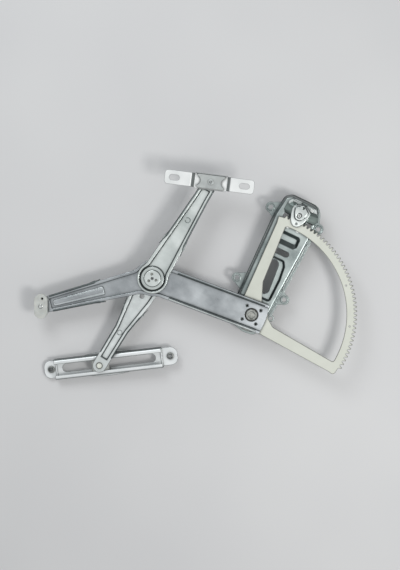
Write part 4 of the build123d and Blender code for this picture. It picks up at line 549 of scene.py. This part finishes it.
# The regulator stands on its crank spindle, and the gap keeps the spindle's rim out of the sloping floor.
# The floor rises towards the lower left of the picture, which shortens the shadows there.
FLOOR_GAP = 0.4 * MM
FLOOR_RISE = 0.055
FLOOR_RISE_DIRECTION = Vector((-0.54, -0.84, 0))
spindle = middle("crank_spindle")
floor.location = (spindle.x, spindle.y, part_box("crank_spindle")[0][2] - FLOOR_GAP)
floor_normal = Vector((0, 0, 1)) - FLOOR_RISE * FLOOR_RISE_DIRECTION
floor.rotation_euler = floor_normal.to_track_quat("Z", "Y").to_euler()
bpy.context.scene.collection.objects.link(floor)

PAPER_DARK = (0.60, 0.60, 0.605)
PAPER_LIGHT = (0.64, 0.64, 0.64)
PAPER_CELLS = 3
PAPER_ROUGHNESS = 0.6
paper, paper_tree, paper_shader = new_material("paper")
paper_clouds = noise(paper_tree, coordinates(paper_tree), PAPER_CELLS, detail=2)
paper_shade = spread(paper_tree, paper_clouds, 0.3, 0.7, 0, 1)
paper_colour = blend(paper_tree, paper_shade, PAPER_DARK, PAPER_LIGHT)
paper_tree.links.new(paper_colour, paper_shader.inputs["Base Color"])
paper_shader.inputs["Roughness"].default_value = PAPER_ROUGHNESS
floor_mesh.materials.append(paper)


# ---------------------------------------------------------------- light

def soft_light(name, place, aim, size, power, colour):
    """A square area light that points at a place."""
    data = bpy.data.lights.new(name, "AREA")
    data.shape = "SQUARE"
    data.size = size
    data.energy = power
    data.color = colour
    lamp = bpy.data.objects.new(name, data)
    lamp.location = place
    direction = Vector(aim) - Vector(place)
    lamp.rotation_euler = direction.to_track_quat("-Z", "Y").to_euler()
    bpy.context.scene.collection.objects.link(lamp)


soft_light(
    "key", place=(0.70, -0.04, 1.34), aim=(0.0, -0.06, 0.0), size=0.36, power=8.5, colour=(1.0, 0.995, 0.98)
)
soft_light(
    "fill", place=(-1.0, 0.7, 1.3), aim=(-0.07, -0.11, 0.0), size=0.8, power=9, colour=(0.95, 0.98, 1.0)
)

# A bright ceiling over a dim room
ROOM = (0.10, 0.105, 0.11)
CEILING = (0.68, 0.69, 0.70)
world = bpy.data.worlds.new("studio")
world.use_nodes = True
sky_tree = world.node_tree
sky_coordinates = sky_tree.nodes.new("ShaderNodeTexCoord")
sky_split = sky_tree.nodes.new("ShaderNodeSeparateXYZ")
sky_tree.links.new(sky_coordinates.outputs["Generated"], sky_split.inputs["Vector"])
ceiling = spread(sky_tree, sky_split.outputs["Z"], 0.15, 0.85, 0, 1)
sky_colour = blend(sky_tree, ceiling, ROOM, CEILING)
sky_tree.links.new(sky_colour, sky_tree.nodes["Background"].inputs["Color"])
bpy.context.scene.world = world
bpy.context.scene.view_settings.view_transform = "Standard"


# ---------------------------------------------------------------- camera

# Fitted to the pins, holes and rim in the photo, with the distance chosen.
# The angles are turns away from a camera that looks straight down.
CAMERA_TARGET = Vector((-0.0845, -0.0932, 0.0))
CAMERA_DISTANCE = 1.616
CAMERA_PITCH = math.radians(-5.48)
CAMERA_YAW = math.radians(3.27)
CAMERA_ROLL = math.radians(25.63)
FOCAL_PIXELS = 1070.9
PICTURE_WIDTH = 400
SENSOR = 36.0

turn = Matrix.Rotation(CAMERA_ROLL, 4, "Z") @ Matrix.Rotation(CAMERA_PITCH, 4, "X")
turn = turn @ Matrix.Rotation(CAMERA_YAW, 4, "Y")
camera_data = bpy.data.cameras.new("camera")
camera_data.sensor_fit = "HORIZONTAL"
camera_data.sensor_width = SENSOR
camera_data.lens = SENSOR * FOCAL_PIXELS / PICTURE_WIDTH
camera = bpy.data.objects.new("camera", camera_data)
camera.matrix_world = Matrix.Translation(CAMERA_TARGET) @ turn @ Matrix.Translation((0, 0, CAMERA_DISTANCE))
bpy.context.scene.collection.objects.link(camera)
bpy.context.scene.camera = camera
